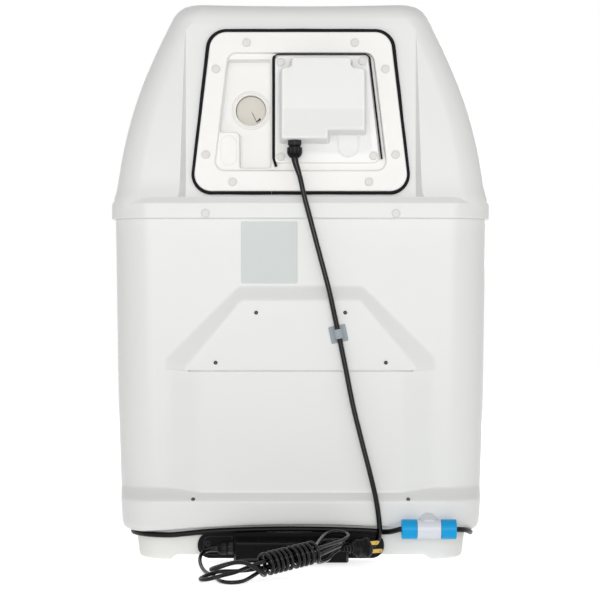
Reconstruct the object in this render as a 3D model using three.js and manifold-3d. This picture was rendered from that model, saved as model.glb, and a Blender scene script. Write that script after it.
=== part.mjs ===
// Mains-powered composting toilet: a moulded two-part body with a seat at the front
// and a service hood at the back. Millimetres, +Z up, back of the body towards +Y.
// The origin is on the floor under the middle of the body.
import * as THREE from "three";
import { mergeVertices } from "three/addons/utils/BufferGeometryUtils.js";
import Module from "manifold-3d";

const wasm = await Module();
wasm.setup();

// ---------------------------------------------------------------- driving sizes
const gap = 0.3; // between pieces that touch
const running = 0.3; // between a pin and its hole

// Lower casing
const casingWidth = 480; // at its rim
const casingDepth = 551;
const rearWall = 276; // rear face above the ledge
const casingWall = 4;
const casingRound = 48; // corners in plan
const rimHeight = 450;
const skirtFoot = 37.3; // lower edge at the corners
const archRise = 9; // lower edge of the back, higher in the middle
const archHalf = 200;
const skirtProud = 18; // skirt beyond the rear wall
const skirtTop = 77;
const ledgeTop = 92;

// House-shaped bulge on the back
const bulgeHalf = 173;
const bulgeTopHalf = 78;
const bulgeShoulder = 260;
const bulgeTop = 350;
const bulgeProud = 9;
const faceHalf = 129; // lower flat face
const gableHalf = 145; // upper raised face
const gableTopHalf = 76;
const gableFoot = 242;
const gableShoulder = 253;
const gableTop = 331;
const gableProud = 2.5;

// Upper shell: belt, deck and hood
const beltFoot = 435;
const beltTop = 462;
const beltWall = 4.2;
const deckHeight = 484;
const deckBack = 178;
const hoodTop = 712;
const hoodWall = 4;
const hoodFront = 156; // foot of the hood's front face
const hoodLean = 40; // how far its front face leans back at the top
const hoodRound = 34;
const paneInset = 10; // flat pane behind the rear wall's plane
const paneHalf = 149;
const paneTop = 684;

// Rear cover, its seal and its pocket
const coverFoot = 471;
const coverTop = 675;
const coverFootHalf = 135.5;
const coverTopHalf = 114.5;
const coverRound = 22;
const coverThick = 5;
const sealWidth = 4;
const coverOverlap = 12; // cover beyond its opening
const pocketFoot = 498;
const pocketTop = 648;
const pocketFootHalf = 109.5;
const pocketTopHalf = 92.5;
const pocketRound = 12;
const pocketWall = 2.5;
const shelfDepth = 6;
const wellDepth = 25;
const wellEdge = 38; // side of the deep well next to the fan cover
const wellFoot = 500;
const wellTop = 638;
const cornerBlockEdge = 78;
const cornerBlockTop = 546;
const capRadius = 5.35;
const capHeight = 1.8;

// Vent socket and damper
const ventX = 64;
const ventZ = 575;
const ventBore = 19.5;
const ventWall = 2.5;
const ventLength = 52;
const ventProud = 3;
const damperThick = 2;

// Fan cover, fan, gland and lead
const fanCoverEdge = 33;
const fanCoverTop = 643;
const fanCoverFoot = 506;
const fanCoverTopEdge = -86;
const fanCoverFootEdge = -101;
const fanCoverThick = 4;
const fanSealWidth = 3;
const fanBoxDepth = 42;
const fanBoxDraft = 3;
const fanBoxWall = 2.5;
const fanX = -27;
const fanZ = 597;
const fanSize = 76;
const fanDepth = 25;
const fanBore = 36;
const hubRadius = 16;
const fanGlandX = 7.7;
const fanGlandFoot = 511;
const fanLeadRadius = 3.75;

// Base pan
const panHalf = 212.5;
const panInset = 15; // its back behind the skirt's
const panDraft = 3.5;
const panWall = 4;
const panFloor = 10;
const footHeight = 6;
const panRimFoot = 50;
const panRimTop = 55.5;
const panShelf = 10; // rim under each side of the drawer
const footLength = 48;

// Drum, bearings and crank
const drumRadius = 158;
const drumLength = 410;
const drumWall = 4;
const drumZ = 283;
const drumFront = -207;
const mouthHalf = 90;
const mouthLength = 210;
const shaftRadius = 14;
const crankReach = 82;
const knobRadius = 14;
const knobLength = 24;
const knobPin = 5;

// Seat, lid and bowl
const seatY = -84;
const seatHalf = 182;
const seatReach = 187;
const seatFoot = 488;
const seatThick = 22;
const seatHoleHalf = 105;
const seatHoleReach = 130;
const lidThick = 11;
const hingeY = 120;
const hingeZ = 500;
const pinRadius = 4;
const lugRadius = 9;

// Finishing drawer
const drawerHalf = 165;
const drawerLip = 12; // its front beyond the opening, each side
const drawerBack = 190;
const drawerTop = 116;
const drawerWall = 3;
const drawerFrontThick = 8;

// Terminal box, drain hose and mains lead
const boxLeft = 84;
const boxRight = -60;
const boxFoot = 3;
const boxBackTop = 30.7;
const boxFrontTop = 28;
const boxDepth = 44.4;
const plateLeft = 131;
const plateRight = -106;
const plateThick = 3;
const hoseRadius = 4;
const hoseHeight = 32.9;
const portBack = 119.7; // end face of the pan's two hose ports
const teeX = -164;
const teeY = 308;
const teeZ = 43;
const teeLength = 71;
const collarLength = 21;
const collarRadius = 12.5;
const mainsRadius = 3;
const plugSize = 28;

// ---------------------------------------------------------------- derived places
const casingHalf = casingWidth / 2;
const frontWall = rearWall - casingDepth;
const skirtBack = rearWall + skirtProud;
const beltBack = rearWall + 7;
const beltHalf = casingHalf + gap + beltWall;
const pane = rearWall - paneInset;
const coverFace = pane + gap + coverThick;
const shelf = coverFace - shelfDepth;
const wellFloor = coverFace - wellDepth;
const fanCoverFace = shelf + gap + fanCoverThick;
const panBack = skirtBack - panInset;
const panFront = frontWall + panInset;
const drumBack = drumFront + drumLength;
const seatTop = seatFoot + seatThick;
const drawerFoot = panRimTop + gap;
const plateBack = panBack + gap;
const boxBack = plateBack + plateThick + gap;

// ---------------------------------------------------------------- shape helpers
const flat = (x, y) => new THREE.Vector2(x, y);
const point = (x, y, z) => new THREE.Vector3(x, y, z);

// A closed geometry as a solid that can be joined and cut.
function solidOf(geometry) {
  const bare = geometry.index ? geometry.toNonIndexed() : geometry.clone();
  bare.deleteAttribute("normal");
  bare.deleteAttribute("uv");
  const merged = mergeVertices(bare, 1e-4);
  const mesh = new wasm.Mesh({
    numProp: 3,
    vertProperties: merged.attributes.position.array,
    triVerts: new Uint32Array(merged.index.array),
  });
  return new wasm.Manifold(mesh);
}

// A solid as a geometry again.
function geometryOf(solid) {
  const mesh = solid.getMesh();
  const geometry = new THREE.BufferGeometry();
  geometry.setAttribute("position", new THREE.BufferAttribute(mesh.vertProperties, 3));
  geometry.setIndex(new THREE.BufferAttribute(mesh.triVerts, 1));
  geometry.computeVertexNormals();
  return geometry;
}

// A polygon with its corners rounded, as outline points.
function rounded(corners, radii, steps = 4) {
  const outline = [];
  corners.forEach((corner, i) => {
    const radius = Array.isArray(radii) ? radii[i] : radii;
    const before = corners[(i + corners.length - 1) % corners.length];
    const after = corners[(i + 1) % corners.length];
    const toBefore = before.clone().sub(corner).normalize();
    const toAfter = after.clone().sub(corner).normalize();
    const half = Math.acos(toBefore.dot(toAfter)) / 2;
    if (radius <= 0) {
      outline.push(corner.clone());
      return;
    }
    const bisector = toBefore.clone().add(toAfter).normalize();
    const centre = corner.clone().addScaledVector(bisector, radius / Math.sin(half));
    const start = corner.clone().addScaledVector(toBefore, radius / Math.tan(half)).sub(centre);
    const turn = (Math.PI - 2 * half) * Math.sign(toAfter.cross(toBefore));
    for (let k = 0; k <= steps; k++) {
      outline.push(start.clone().rotateAround(flat(0, 0), (turn * k) / steps).add(centre));
    }
  });
  return outline;
}

// An outline of x and y, raised from one height to another.
function lying(outline, foot, top) {
  const geometry = new THREE.ExtrudeGeometry(new THREE.Shape(outline), {
    depth: top - foot,
    bevelEnabled: false,
  });
  return solidOf(geometry.translate(0, 0, foot));
}

// An outline of x and z, run from one y to another.
function standing(outline, front, back) {
  const geometry = new THREE.ExtrudeGeometry(new THREE.Shape(outline), {
    depth: back - front,
    bevelEnabled: false,
  });
  return solidOf(geometry.rotateX(Math.PI / 2).translate(0, back, 0));
}

// An outline of y and z, run from one x to another.
function sideways(outline, from, to) {
  const geometry = new THREE.ExtrudeGeometry(new THREE.Shape(outline), {
    depth: to - from,
    bevelEnabled: false,
  });
  const turn = new THREE.Matrix4().makeBasis(point(0, 1, 0), point(0, 0, 1), point(1, 0, 0));
  return solidOf(geometry.applyMatrix4(turn).translate(from, 0, 0));
}

function block(x, y, z) {
  const geometry = new THREE.BoxGeometry(x[1] - x[0], y[1] - y[0], z[1] - z[0]);
  geometry.translate((x[0] + x[1]) / 2, (y[0] + y[1]) / 2, (z[0] + z[1]) / 2);
  return solidOf(geometry);
}

// A round bar or cone between two points.
function bar(from, to, radius, endRadius = radius, sides = 20) {
  const along = to.clone().sub(from);
  const geometry = new THREE.CylinderGeometry(endRadius, radius, along.length(), sides);
  const turn = new THREE.Quaternion().setFromUnitVectors(point(0, 1, 0), along.clone().normalize());
  geometry.applyQuaternion(turn);
  geometry.translate(...from.clone().add(to).multiplyScalar(0.5).toArray());
  return solidOf(geometry);
}

// A skin through rings of equal length, closed at both ends.
function loft(rings) {
  const count = rings[0].length;
  const places = rings.flat().flatMap((p) => p.toArray());
  const faces = [];
  for (let r = 0; r + 1 < rings.length; r++) {
    for (let i = 0; i < count; i++) {
      const a = r * count + i;
      const b = r * count + ((i + 1) % count);
      faces.push(a, b, b + count, a, b + count, a + count);
    }
  }
  const last = (rings.length - 1) * count;
  for (let i = 1; i + 1 < count; i++) {
    faces.push(0, i + 1, i, last, last + i, last + i + 1);
  }
  const geometry = new THREE.BufferGeometry();
  geometry.setAttribute("position", new THREE.Float32BufferAttribute(places, 3));
  geometry.setIndex(faces);
  return solidOf(geometry);
}

// A level ring with rounded corners: half width, back, front and corner radii.
function level(z, half, back, front, backRound, frontRound = backRound) {
  const corners = [flat(half, front), flat(half, back), flat(-half, back), flat(-half, front)];
  const radii = [frontRound, backRound, backRound, frontRound];
  return rounded(corners, radii).map((p) => point(p.x, p.y, z));
}

function ovalRing(z, half, reach, count = 28) {
  return Array.from({ length: count }, (_, i) => {
    const angle = (i / count) * 2 * Math.PI;
    return point(half * Math.cos(angle), seatY + reach * Math.sin(angle), z);
  });
}

// A tube along a smooth curve through the points.
function tube(points, radius, steps, sides = 10) {
  const section = Array.from({ length: sides }, (_, i) => {
    const angle = (i / sides) * 2 * Math.PI;
    return flat(radius * Math.cos(angle), radius * Math.sin(angle));
  });
  const path = new THREE.CatmullRomCurve3(points);
  const options = { extrudePath: path, steps, bevelEnabled: false };
  return solidOf(new THREE.ExtrudeGeometry(new THREE.Shape(section), options));
}

// A rounded trapezoid of x and z, grown outwards by an amount.
function trapezoid(foot, top, footHalf, topHalf, radius, grow = 0) {
  const corners = [
    flat(footHalf + grow, foot - grow),
    flat(topHalf + grow, top + grow),
    flat(-topHalf - grow, top + grow),
    flat(-footHalf - grow, foot - grow),
  ];
  return rounded(corners, Math.max(radius + grow, 1));
}

const join = (...solids) => solids.reduce((all, next) => all.add(next));

// ---------------------------------------------------------------- finishes
const group = new THREE.Group();
const finishes = {
  body: [0xebecea, 0.32, 0],
  pan: [0xe8e8e2, 0.4, 0],
  cover: [0xf5f3ee, 0.35, 0],
  cap: [0xe2e1dc, 0.4, 0],
  seal: [0x2d2c32, 0.75, 0],
  black: [0x161617, 0.45, 0],
  clip: [0x96a3aa, 0.5, 0],
  label: [0xdfe6df, 0.45, 0],
  blue: [0x0091d2, 0.35, 0],
  clear: [0xd2d9e4, 0.25, 0],
  brass: [0xc8aa5a, 0.3, 1],
  steel: [0xb8bcc0, 0.35, 1],
  liner: [0xe6e2da, 0.4, 0],
  drum: [0x55585a, 0.6, 0],
};

// Adds one named piece to the assembly, at an optional place.
function piece(name, solid, finish, place = null) {
  const [color, roughness, metalness] = finishes[finish];
  const material = new THREE.MeshStandardMaterial({ color, roughness, metalness });
  const mesh = new THREE.Mesh(geometryOf(solid), material);
  mesh.name = name;
  if (place) {
    mesh.position.copy(place);
  }
  group.add(mesh);
  return mesh;
}

// ---------------------------------------------------------------- lower casing
// Height, inset of the sides, and how far the back and the front stand proud.
const casingLevels = [
  [skirtFoot, 18, skirtProud - 3, -2],
  [panRimFoot, 12.5, skirtProud, 0],
  [skirtTop, 9, skirtProud, 0],
  [ledgeTop, 8, 0, 0],
  [190, 4, 0, 0],
  [rimHeight, 0, 0, 0],
];

function casingSkin(inset, extend) {
  const lastIndex = casingLevels.length - 1;
  return loft(
    casingLevels.map(([z, side, backProud, frontProud], i) => {
      const height = z - (i === 0 ? extend : 0) + (i === lastIndex ? extend : 0);
      return level(
        height,
        casingHalf - side - inset,
        rearWall + backProud - inset,
        frontWall - frontProud + inset,
        casingRound - inset,
      );
    }),
  );
}

function bulge() {
  const outer = [
    [bulgeHalf, skirtTop + 2],
    [bulgeHalf, bulgeShoulder],
    [bulgeTopHalf, bulgeTop],
    [-bulgeTopHalf, bulgeTop],
    [-bulgeHalf, bulgeShoulder],
    [-bulgeHalf, skirtTop + 2],
  ];
  const inner = [
    [faceHalf, skirtTop + 2],
    [faceHalf, gableFoot + 4],
    [gableTopHalf, gableTop],
    [-gableTopHalf, gableTop],
    [-faceHalf, gableFoot + 4],
    [-faceHalf, skirtTop + 2],
  ];
  const ringAt = (outline, y) => outline.map(([x, z]) => point(x, y, z)).reverse();
  const gable = [
    flat(gableHalf, gableFoot),
    flat(gableHalf, gableShoulder),
    flat(gableTopHalf, gableTop),
    flat(-gableTopHalf, gableTop),
    flat(-gableHalf, gableShoulder),
    flat(-gableHalf, gableFoot),
  ];
  const house = loft([ringAt(outer, rearWall - 1), ringAt(inner, rearWall + bulgeProud)]);
  return house.add(standing(gable, rearWall, rearWall + bulgeProud + gableProud));
}

function archCut() {
  const outline = [flat(archHalf, skirtFoot - 10), flat(archHalf, skirtFoot)];
  const steps = 12;
  for (let i = 1; i < steps; i++) {
    const x = archHalf - (2 * archHalf * i) / steps;
    outline.push(flat(x, skirtFoot + archRise * (1 - (x / archHalf) ** 2)));
  }
  outline.push(flat(-archHalf, skirtFoot), flat(-archHalf, skirtFoot - 10));
  return standing(outline, rearWall - 20, skirtBack + 10);
}

const drawerHole = block(
  [-drawerHalf - 1, drawerHalf + 1],
  [frontWall - 5, frontWall + casingWall + 5],
  [panRimTop - 0.5, drawerTop + 1.5],
);
const bushRadius = shaftRadius + running + 6;
const shaftHole = bar(
  point(0, frontWall - 5, drumZ),
  point(0, frontWall + 10, drumZ),
  bushRadius + gap,
);
piece(
  "lower_casing",
  casingSkin(0, 0)
    .add(bulge())
    .subtract(casingSkin(casingWall, 5))
    .subtract(archCut())
    .subtract(drawerHole)
    .subtract(shaftHole),
  "body",
);

// ---------------------------------------------------------------- base pan
function basePan() {
  const tub = loft([
    level(footHeight, panHalf - panDraft, panBack - panDraft, panFront + panDraft, casingRound),
    level(skirtFoot, panHalf, panBack, panFront, casingRound),
    level(panRimTop, panHalf, panBack, panFront, casingRound),
  ]);
  const rimInset = casingWall + gap;
  const rim = loft(
    [panRimFoot, panRimTop].map((z) =>
      level(
        z,
        casingHalf - 12.5 - rimInset,
        skirtBack - rimInset,
        frontWall + rimInset,
        casingRound - rimInset,
      ),
    ),
  );
  const hollow = loft(
    [panFloor, panRimFoot].map((z) => {
      const inset = panDraft + panWall;
      return level(z, panHalf - inset, panBack - inset, panFront + inset, casingRound - panWall);
    }),
  );
  const mouthHalfWidth = drawerHalf - panShelf;
  const mouth = block(
    [-mouthHalfWidth, mouthHalfWidth],
    [panFront + 30, panBack - 40],
    [panRimFoot - 5, panRimTop + 5],
  );
  const feet = [-1, 1].flatMap((side) =>
    [-1, 1].map((end) => {
      const x = [panHalf - panDraft - footLength, panHalf].map((v) => v * side);
      const reach = end > 0 ? panBack - panDraft : -panFront - panDraft;
      const y = [reach - footLength - 15, reach].map((v) => v * end);
      return block(x.sort((a, b) => a - b), y.sort((a, b) => a - b), [0, footHeight + 1]);
    }),
  );
  const footprint = loft(
    [0, footHeight + 1].map((z) =>
      level(z, panHalf - panDraft, panBack - panDraft, panFront + panDraft, casingRound),
    ),
  );
  const ports = [-1, 1].map((side) => {
    const x = side * (panHalf + hoseRadius + gap);
    const radius = hoseRadius + 0.3;
    const web = [side * (panHalf - 2), x].sort((a, b) => a - b);
    return bar(point(x, portBack - 25, hoseHeight), point(x, portBack, hoseHeight), radius).add(
      block(web, [portBack - 25, portBack], [hoseHeight - radius, hoseHeight + radius]),
    );
  });
  return join(tub, rim, ...ports, join(...feet).intersect(footprint))
    .subtract(hollow)
    .subtract(mouth);
}
piece("base_pan", basePan(), "pan");

// A bent rod on two low feet of the pan floor.
function heater() {
  const y = [-180, 180];
  const z = panFloor + gap + 4;
  const points = [];
  for (let i = 0; i < 6; i++) {
    const x = -100 + 40 * i;
    const ends = i % 2 === 0 ? y : [...y].reverse();
    points.push(point(x, ends[0] * 0.92, z), point(x, ends[1] * 0.92, z));
  }
  return tube(points, 4, 44, 6);
}
piece("heating_element", heater(), "steel");

// ---------------------------------------------------------------- upper shell
// Height, half width, back inset from the rear wall, share of the lean, for the hood.
const hoodLevels = [
  [beltTop - 6, 237.5, 0, 0],
  [deckHeight, 235.5, 1, 0.1],
  [531, 227, 3, 0.3],
  [604, 206, 6, 0.62],
  [658, 183, 8.5, 0.83],
  [688, 169, 10, 0.95],
  [701, 159, 15, 1.05],
  [709, 147, 25, 1.2],
  [hoodTop, 134, 38, 1.35],
];

function hoodSkin(inset) {
  const rings = hoodLevels.map(([z, half, backInset, lean]) => {
    const height = inset > 0 ? Math.min(z, hoodTop - inset) : z;
    const back = inset > 0 ? Math.min(pane, rearWall - backInset) - inset : rearWall - backInset;
    const front = hoodFront + hoodLean * lean + inset;
    return level(height, half - inset, back, front, hoodRound - inset, 22 - inset);
  });
  if (inset > 0) {
    const [, half, , lean] = hoodLevels[0];
    const front = hoodFront + hoodLean * lean + inset;
    rings[0] = level(rimHeight, half - inset, pane - inset, front, hoodRound - inset, 22 - inset);
    rings.splice(rings.length - 2, 1);
  }
  return loft(rings);
}

function upperShell() {
  const beltFront = frontWall - 7;
  const belt = loft([
    level(beltFoot, beltHalf, beltBack, beltFront, casingRound + 4),
    level(beltTop - 8, beltHalf, beltBack, beltFront, casingRound + 4),
    level(beltTop, beltHalf - 4, beltBack - 5, beltFront + 4, casingRound),
  ]);
  const deck = loft([
    level(beltTop - 8, beltHalf - 1, deckBack, beltFront + 1, 20, casingRound + 3),
    level(deckHeight - 8, beltHalf - 1.5, deckBack, beltFront + 3, 20, casingRound + 2),
    level(deckHeight - 2, beltHalf - 3.5, deckBack, beltFront + 5, 20, casingRound),
    level(deckHeight, beltHalf - 7, deckBack, beltFront + 9, 16, casingRound - 4),
  ]);
  const rimRoom = loft(
    [beltFoot - 5, rimHeight + gap].map((z) =>
      level(z, casingHalf + gap, rearWall + gap, frontWall - gap, casingRound),
    ),
  );
  const deckRoom = loft(
    [rimHeight, deckHeight - casingWall].map((z) =>
      level(z, casingHalf - casingWall, deckBack + 10, frontWall + casingWall, 14, casingRound),
    ),
  );
  const paneCut = block([-paneHalf, paneHalf], [pane, rearWall + 20], [beltTop, paneTop]);
  const opening = trapezoid(
    coverFoot,
    coverTop,
    coverFootHalf,
    coverTopHalf,
    coverRound,
    -coverOverlap,
  );
  const bowlHole = loft(
    [deckHeight - 10, deckHeight + 5].map((z) => ovalRing(z, seatHoleHalf + 6, seatHoleReach + 6)),
  );
  return join(belt, deck, hoodSkin(0))
    .subtract(rimRoom)
    .subtract(deckRoom)
    .subtract(hoodSkin(hoodWall))
    .subtract(paneCut)
    .subtract(standing(opening, pane - 12, pane + 5))
    .subtract(bowlHole);
}
piece("upper_shell", upperShell(), "body");

// ---------------------------------------------------------------- bowl, seat and lid
function bowlLiner() {
  const outer = loft([
    ovalRing(449, 92, 118),
    ovalRing(470, 101, 127),
    ovalRing(deckHeight + gap, seatHoleHalf + 5, seatHoleReach + 5),
    ovalRing(deckHeight + gap, seatHoleHalf + 15, seatHoleReach + 15),
    ovalRing(deckHeight + gap + 2, seatHoleHalf + 15, seatHoleReach + 15),
  ]);
  const inner = loft([
    ovalRing(440, 88, 114),
    ovalRing(470, 98, 124),
    ovalRing(deckHeight + 10, seatHoleHalf + 3, seatHoleReach + 3),
  ]);
  return outer.subtract(inner);
}
piece("bowl_liner", bowlLiner(), "liner");

function seatRing() {
  const edge = 6;
  const outer = loft([
    ovalRing(seatFoot, seatHalf - 4, seatReach - 4),
    ovalRing(seatFoot + 3, seatHalf, seatReach),
    ovalRing(seatTop - edge, seatHalf, seatReach),
    ovalRing(seatTop, seatHalf - edge, seatReach - edge),
  ]);
  const hole = loft([
    ovalRing(seatFoot - 5, seatHoleHalf, seatHoleReach),
    ovalRing(seatTop - edge, seatHoleHalf, seatHoleReach),
    ovalRing(seatTop + 5, seatHoleHalf + 11, seatHoleReach + 11),
  ]);
  const lugs = [-74, 58].map((x) => {
    const arm = block([x, x + 16], [75, hingeY], [hingeZ - lugRadius, hingeZ + lugRadius]);
    return arm.add(bar(point(x, hingeY, hingeZ), point(x + 16, hingeY, hingeZ), lugRadius));
  });
  const bore = bar(point(-90, hingeY, hingeZ), point(90, hingeY, hingeZ), pinRadius + running);
  return join(outer.subtract(hole), ...lugs).subtract(bore);
}
piece("seat_ring", seatRing(), "body");

function seatLid() {
  const foot = seatTop + 1.5;
  const slab = loft([
    ovalRing(foot, seatHalf + 2, seatReach + 1),
    ovalRing(foot + lidThick - 5, seatHalf + 2, seatReach + 1),
    ovalRing(foot + lidThick - 1.5, seatHalf - 4, seatReach - 5),
    ovalRing(foot + lidThick, seatHalf - 30, seatReach - 31),
  ]);
  const lugs = [-54, 38].map((x) => {
    const arm = block([x, x + 16], [99.5, hingeY], [hingeZ, foot + lidThick - 3]);
    return arm.add(bar(point(x, hingeY, hingeZ), point(x + 16, hingeY, hingeZ), lugRadius));
  });
  const bore = bar(point(-90, hingeY, hingeZ), point(90, hingeY, hingeZ), pinRadius + running);
  return join(slab, ...lugs).subtract(bore);
}
piece("seat_lid", seatLid(), "body");

const bracketOuter = 93;
const bracketInner = 77;
piece(
  "hinge_pin",
  bar(point(-bracketOuter, hingeY, hingeZ), point(bracketOuter, hingeY, hingeZ), pinRadius),
  "steel",
);
[-1, 1].forEach((side, i) => {
  const x = [bracketInner * side, bracketOuter * side].sort((a, b) => a - b);
  const outline = rounded(
    [
      flat(hingeY - 10, deckHeight + gap),
      flat(hingeY + 10, deckHeight + gap),
      flat(hingeY + 10, hingeZ + 9),
      flat(hingeY - 10, hingeZ + 9),
    ],
    [0, 0, 8, 8],
  );
  const bore = bar(
    point(x[0] - 5, hingeY, hingeZ),
    point(x[1] + 5, hingeY, hingeZ),
    pinRadius + running,
  );
  piece("hinge_bracket_" + (i + 1), sideways(outline, ...x).subtract(bore), "body");
});

// ---------------------------------------------------------------- drum and crank
const shaftEnd = frontWall - 13;
const cupBack = rearWall - casingWall - gap;
function drum() {
  const at = (y) => point(0, y, drumZ);
  const mouthMid = seatY;
  const mouth = block(
    [-mouthHalf, mouthHalf],
    [mouthMid - mouthLength / 2, mouthMid + mouthLength / 2],
    [drumZ + 40, drumZ + drumRadius + 10],
  );
  const barrel = bar(at(drumFront), at(drumBack), drumRadius, drumRadius, 48);
  const hollow = bar(
    at(drumFront + drumWall),
    at(drumBack - drumWall),
    drumRadius - drumWall,
    drumRadius - drumWall,
    48,
  );
  const frontShaft = bar(at(shaftEnd), at(drumFront + 2), shaftRadius);
  const backShaft = bar(at(drumBack - 2), at(cupBack - 10), shaftRadius);
  return barrel.subtract(hollow).subtract(mouth).add(frontShaft).add(backShaft);
}
piece("compost_drum", drum(), "drum");

function rearBearing() {
  const at = (y) => point(0, y, drumZ);
  const outline = rounded([flat(118, 240), flat(66, 327), flat(-66, 327), flat(-118, 240)], 8);
  const cup = bar(at(cupBack - 24), at(cupBack - 3), shaftRadius + running + 8);
  const bore = bar(at(cupBack - 30), at(cupBack - 7), shaftRadius + running);
  return standing(outline, cupBack - 6, cupBack).add(cup).subtract(bore);
}
piece("rear_bearing", rearBearing(), "black");

function frontBearing() {
  const at = (y) => point(0, y, drumZ);
  const sleeve = bar(at(frontWall - 2), at(frontWall + 16), bushRadius);
  const flange = bar(at(frontWall - gap - 3), at(frontWall - gap), bushRadius + 8);
  const bore = bar(at(frontWall - 10), at(frontWall + 20), shaftRadius + running);
  return sleeve.add(flange).subtract(bore);
}
piece("front_bearing", frontBearing(), "black");

const crankAngle = -0.6; // below the level, towards -X
const crankFace = shaftEnd - gap;
const knobX = crankReach * Math.cos(crankAngle) * -1;
const knobZ = drumZ + crankReach * Math.sin(crankAngle);
function crank() {
  const thick = 10;
  const end = point(knobX, 0, knobZ);
  const hub = bar(point(0, crankFace, drumZ), point(0, crankFace - thick, drumZ), 20);
  const arm = block([0, crankReach], [-thick, -1.5], [-9, 9])
    .rotate([0, 180 + (crankAngle * 180) / Math.PI, 0])
    .translate([0, crankFace, drumZ]);
  const boss = bar(end.clone().setY(crankFace), end.clone().setY(crankFace - thick), 13);
  const pin = bar(
    end.clone().setY(crankFace - thick + 1),
    end.clone().setY(crankFace - thick - knobLength - 3),
    knobPin,
  );
  const head = bar(
    end.clone().setY(crankFace - thick - knobLength - 1),
    end.clone().setY(crankFace - thick - knobLength - 4),
    knobPin + 3,
  );
  return join(hub, arm, boss, pin, head);
}
piece("crank_handle", crank(), "black");

function knob() {
  const back = crankFace - 10 - 0.5;
  const at = (y) => point(knobX, y, knobZ);
  const grip = bar(at(back), at(back - knobLength), knobRadius, knobRadius - 2);
  return grip.subtract(bar(at(back + 5), at(back - knobLength - 5), knobPin + running));
}
piece("crank_knob", knob(), "black");

// ---------------------------------------------------------------- finishing drawer
function drawer() {
  const front = frontWall - gap;
  const tray = block([-drawerHalf, drawerHalf], [front - 2, drawerBack], [drawerFoot, drawerTop]);
  const inside = block(
    [-drawerHalf + drawerWall, drawerHalf - drawerWall],
    [front + 6, drawerBack - drawerWall],
    [drawerFoot + drawerWall, drawerTop + 5],
  );
  const half = drawerHalf + drawerLip;
  const foot = drawerFoot - 4;
  const top = drawerTop + 8;
  const faceOutline = rounded(
    [flat(half, foot), flat(half, top), flat(-half, top), flat(-half, foot)],
    8,
  );
  const face = standing(faceOutline, front - drawerFrontThick, front);
  const grip = block([-60, 60], [front - 32, front - 26], [84, 94]);
  const posts = [-60, 50].map((x) => block([x, x + 10], [front - 30, front - 4], [84, 94]));
  return join(tray.subtract(inside), face, grip, ...posts);
}
piece("finishing_drawer", drawer(), "pan");

// ---------------------------------------------------------------- rear cover
const coverOutline = (grow) =>
  trapezoid(coverFoot, coverTop, coverFootHalf, coverTopHalf, coverRound, grow);
const pocketOutline = (grow) =>
  trapezoid(pocketFoot, pocketTop, pocketFootHalf, pocketTopHalf, pocketRound, grow);

// The deep part of the pocket, beside the fan cover.
function well(grow, front, back) {
  const deep = block(
    [wellEdge - grow, pocketFootHalf + 20],
    [front, back],
    [wellFoot - grow, wellTop + grow],
  );
  const corner = block(
    [cornerBlockEdge + grow, pocketFootHalf + 30],
    [front - 5, back + 5],
    [pocketFoot - 20, cornerBlockTop - grow],
  );
  return deep.subtract(corner).intersect(standing(pocketOutline(grow - 1), front, back));
}

function rearCover() {
  const plate = standing(coverOutline(0), pane + gap, coverFace);
  const tray = standing(pocketOutline(pocketWall), shelf - 3, coverFace - 1);
  const trayRoom = standing(pocketOutline(0), shelf, coverFace + 5);
  const deepBody = well(pocketWall, wellFloor - 3, coverFace - 2);
  const deepRoom = well(0, wellFloor, coverFace + 5);
  const fanHole = bar(
    point(fanX, shelf - 10, fanZ),
    point(fanX, shelf + 10, fanZ),
    fanBore - 1,
    fanBore - 1,
    32,
  );
  const ventHole = bar(
    point(ventX, wellFloor - 10, ventZ),
    point(ventX, wellFloor + 5, ventZ),
    ventBore + ventWall + gap,
    ventBore + ventWall + gap,
    32,
  );
  return join(plate, tray, deepBody)
    .subtract(trayRoom)
    .subtract(deepRoom)
    .subtract(fanHole)
    .subtract(ventHole);
}
piece("rear_cover", rearCover(), "cover");
piece(
  "rear_cover_seal",
  standing(coverOutline(sealWidth), pane + gap, coverFace - 0.8).subtract(
    standing(coverOutline(gap), pane - 5, coverFace + 5),
  ),
  "seal",
);

function cap() {
  const half = capHeight / 2;
  return bar(point(0, 0, 0), point(0, half, 0), capRadius, capRadius, 16).add(
    bar(point(0, half - 0.01, 0), point(0, capHeight, 0), capRadius, capRadius - 0.9, 16),
  );
}

function caps(name, face, places) {
  places.forEach(([x, z], i) => {
    piece(name + "_" + (i + 1), cap(), "cap", point(x, face + gap, z));
  });
}
const mirrored = (places) => places.flatMap(([x, z]) => [[x, z], [-x, z]]);
caps("rear_cover_cap", coverFace, mirrored([[69, 662], [108, 628], [121, 518], [87, 483]]));
caps("fan_cover_cap", fanCoverFace, [[27, 636], [-79, 637], [27, 515], [-93, 516]]);
caps("belt_cap", beltBack, mirrored([[121, 443]]));

// ---------------------------------------------------------------- vent and damper
function ventTube() {
  const outer = ventBore + ventWall;
  const at = (y) => point(ventX, y, ventZ);
  const mouth = wellFloor + ventProud;
  const pipe = bar(at(mouth - ventLength), at(mouth), outer, outer, 32);
  const collarFace = wellFloor - 3 - gap;
  const collar = bar(at(collarFace - 3), at(collarFace), outer + 4, outer + 4, 32);
  const bore = bar(at(mouth - ventLength - 5), at(mouth + 5), ventBore, ventBore, 32);
  return pipe.add(collar).subtract(bore);
}
piece("vent_tube", ventTube(), "cover");

const damperY = wellFloor - 9;
const damperRadius = ventBore - 0.5;
const damper = bar(
  point(0, -damperThick / 2, 0),
  point(0, damperThick / 2, 0),
  damperRadius,
  damperRadius,
  32,
).add(bar(point(0, 0, -damperRadius + 0.3), point(0, 0, damperRadius - 0.3), 2, 2, 12));
piece("vent_damper", damper, "liner", point(ventX, damperY, ventZ));

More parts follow.
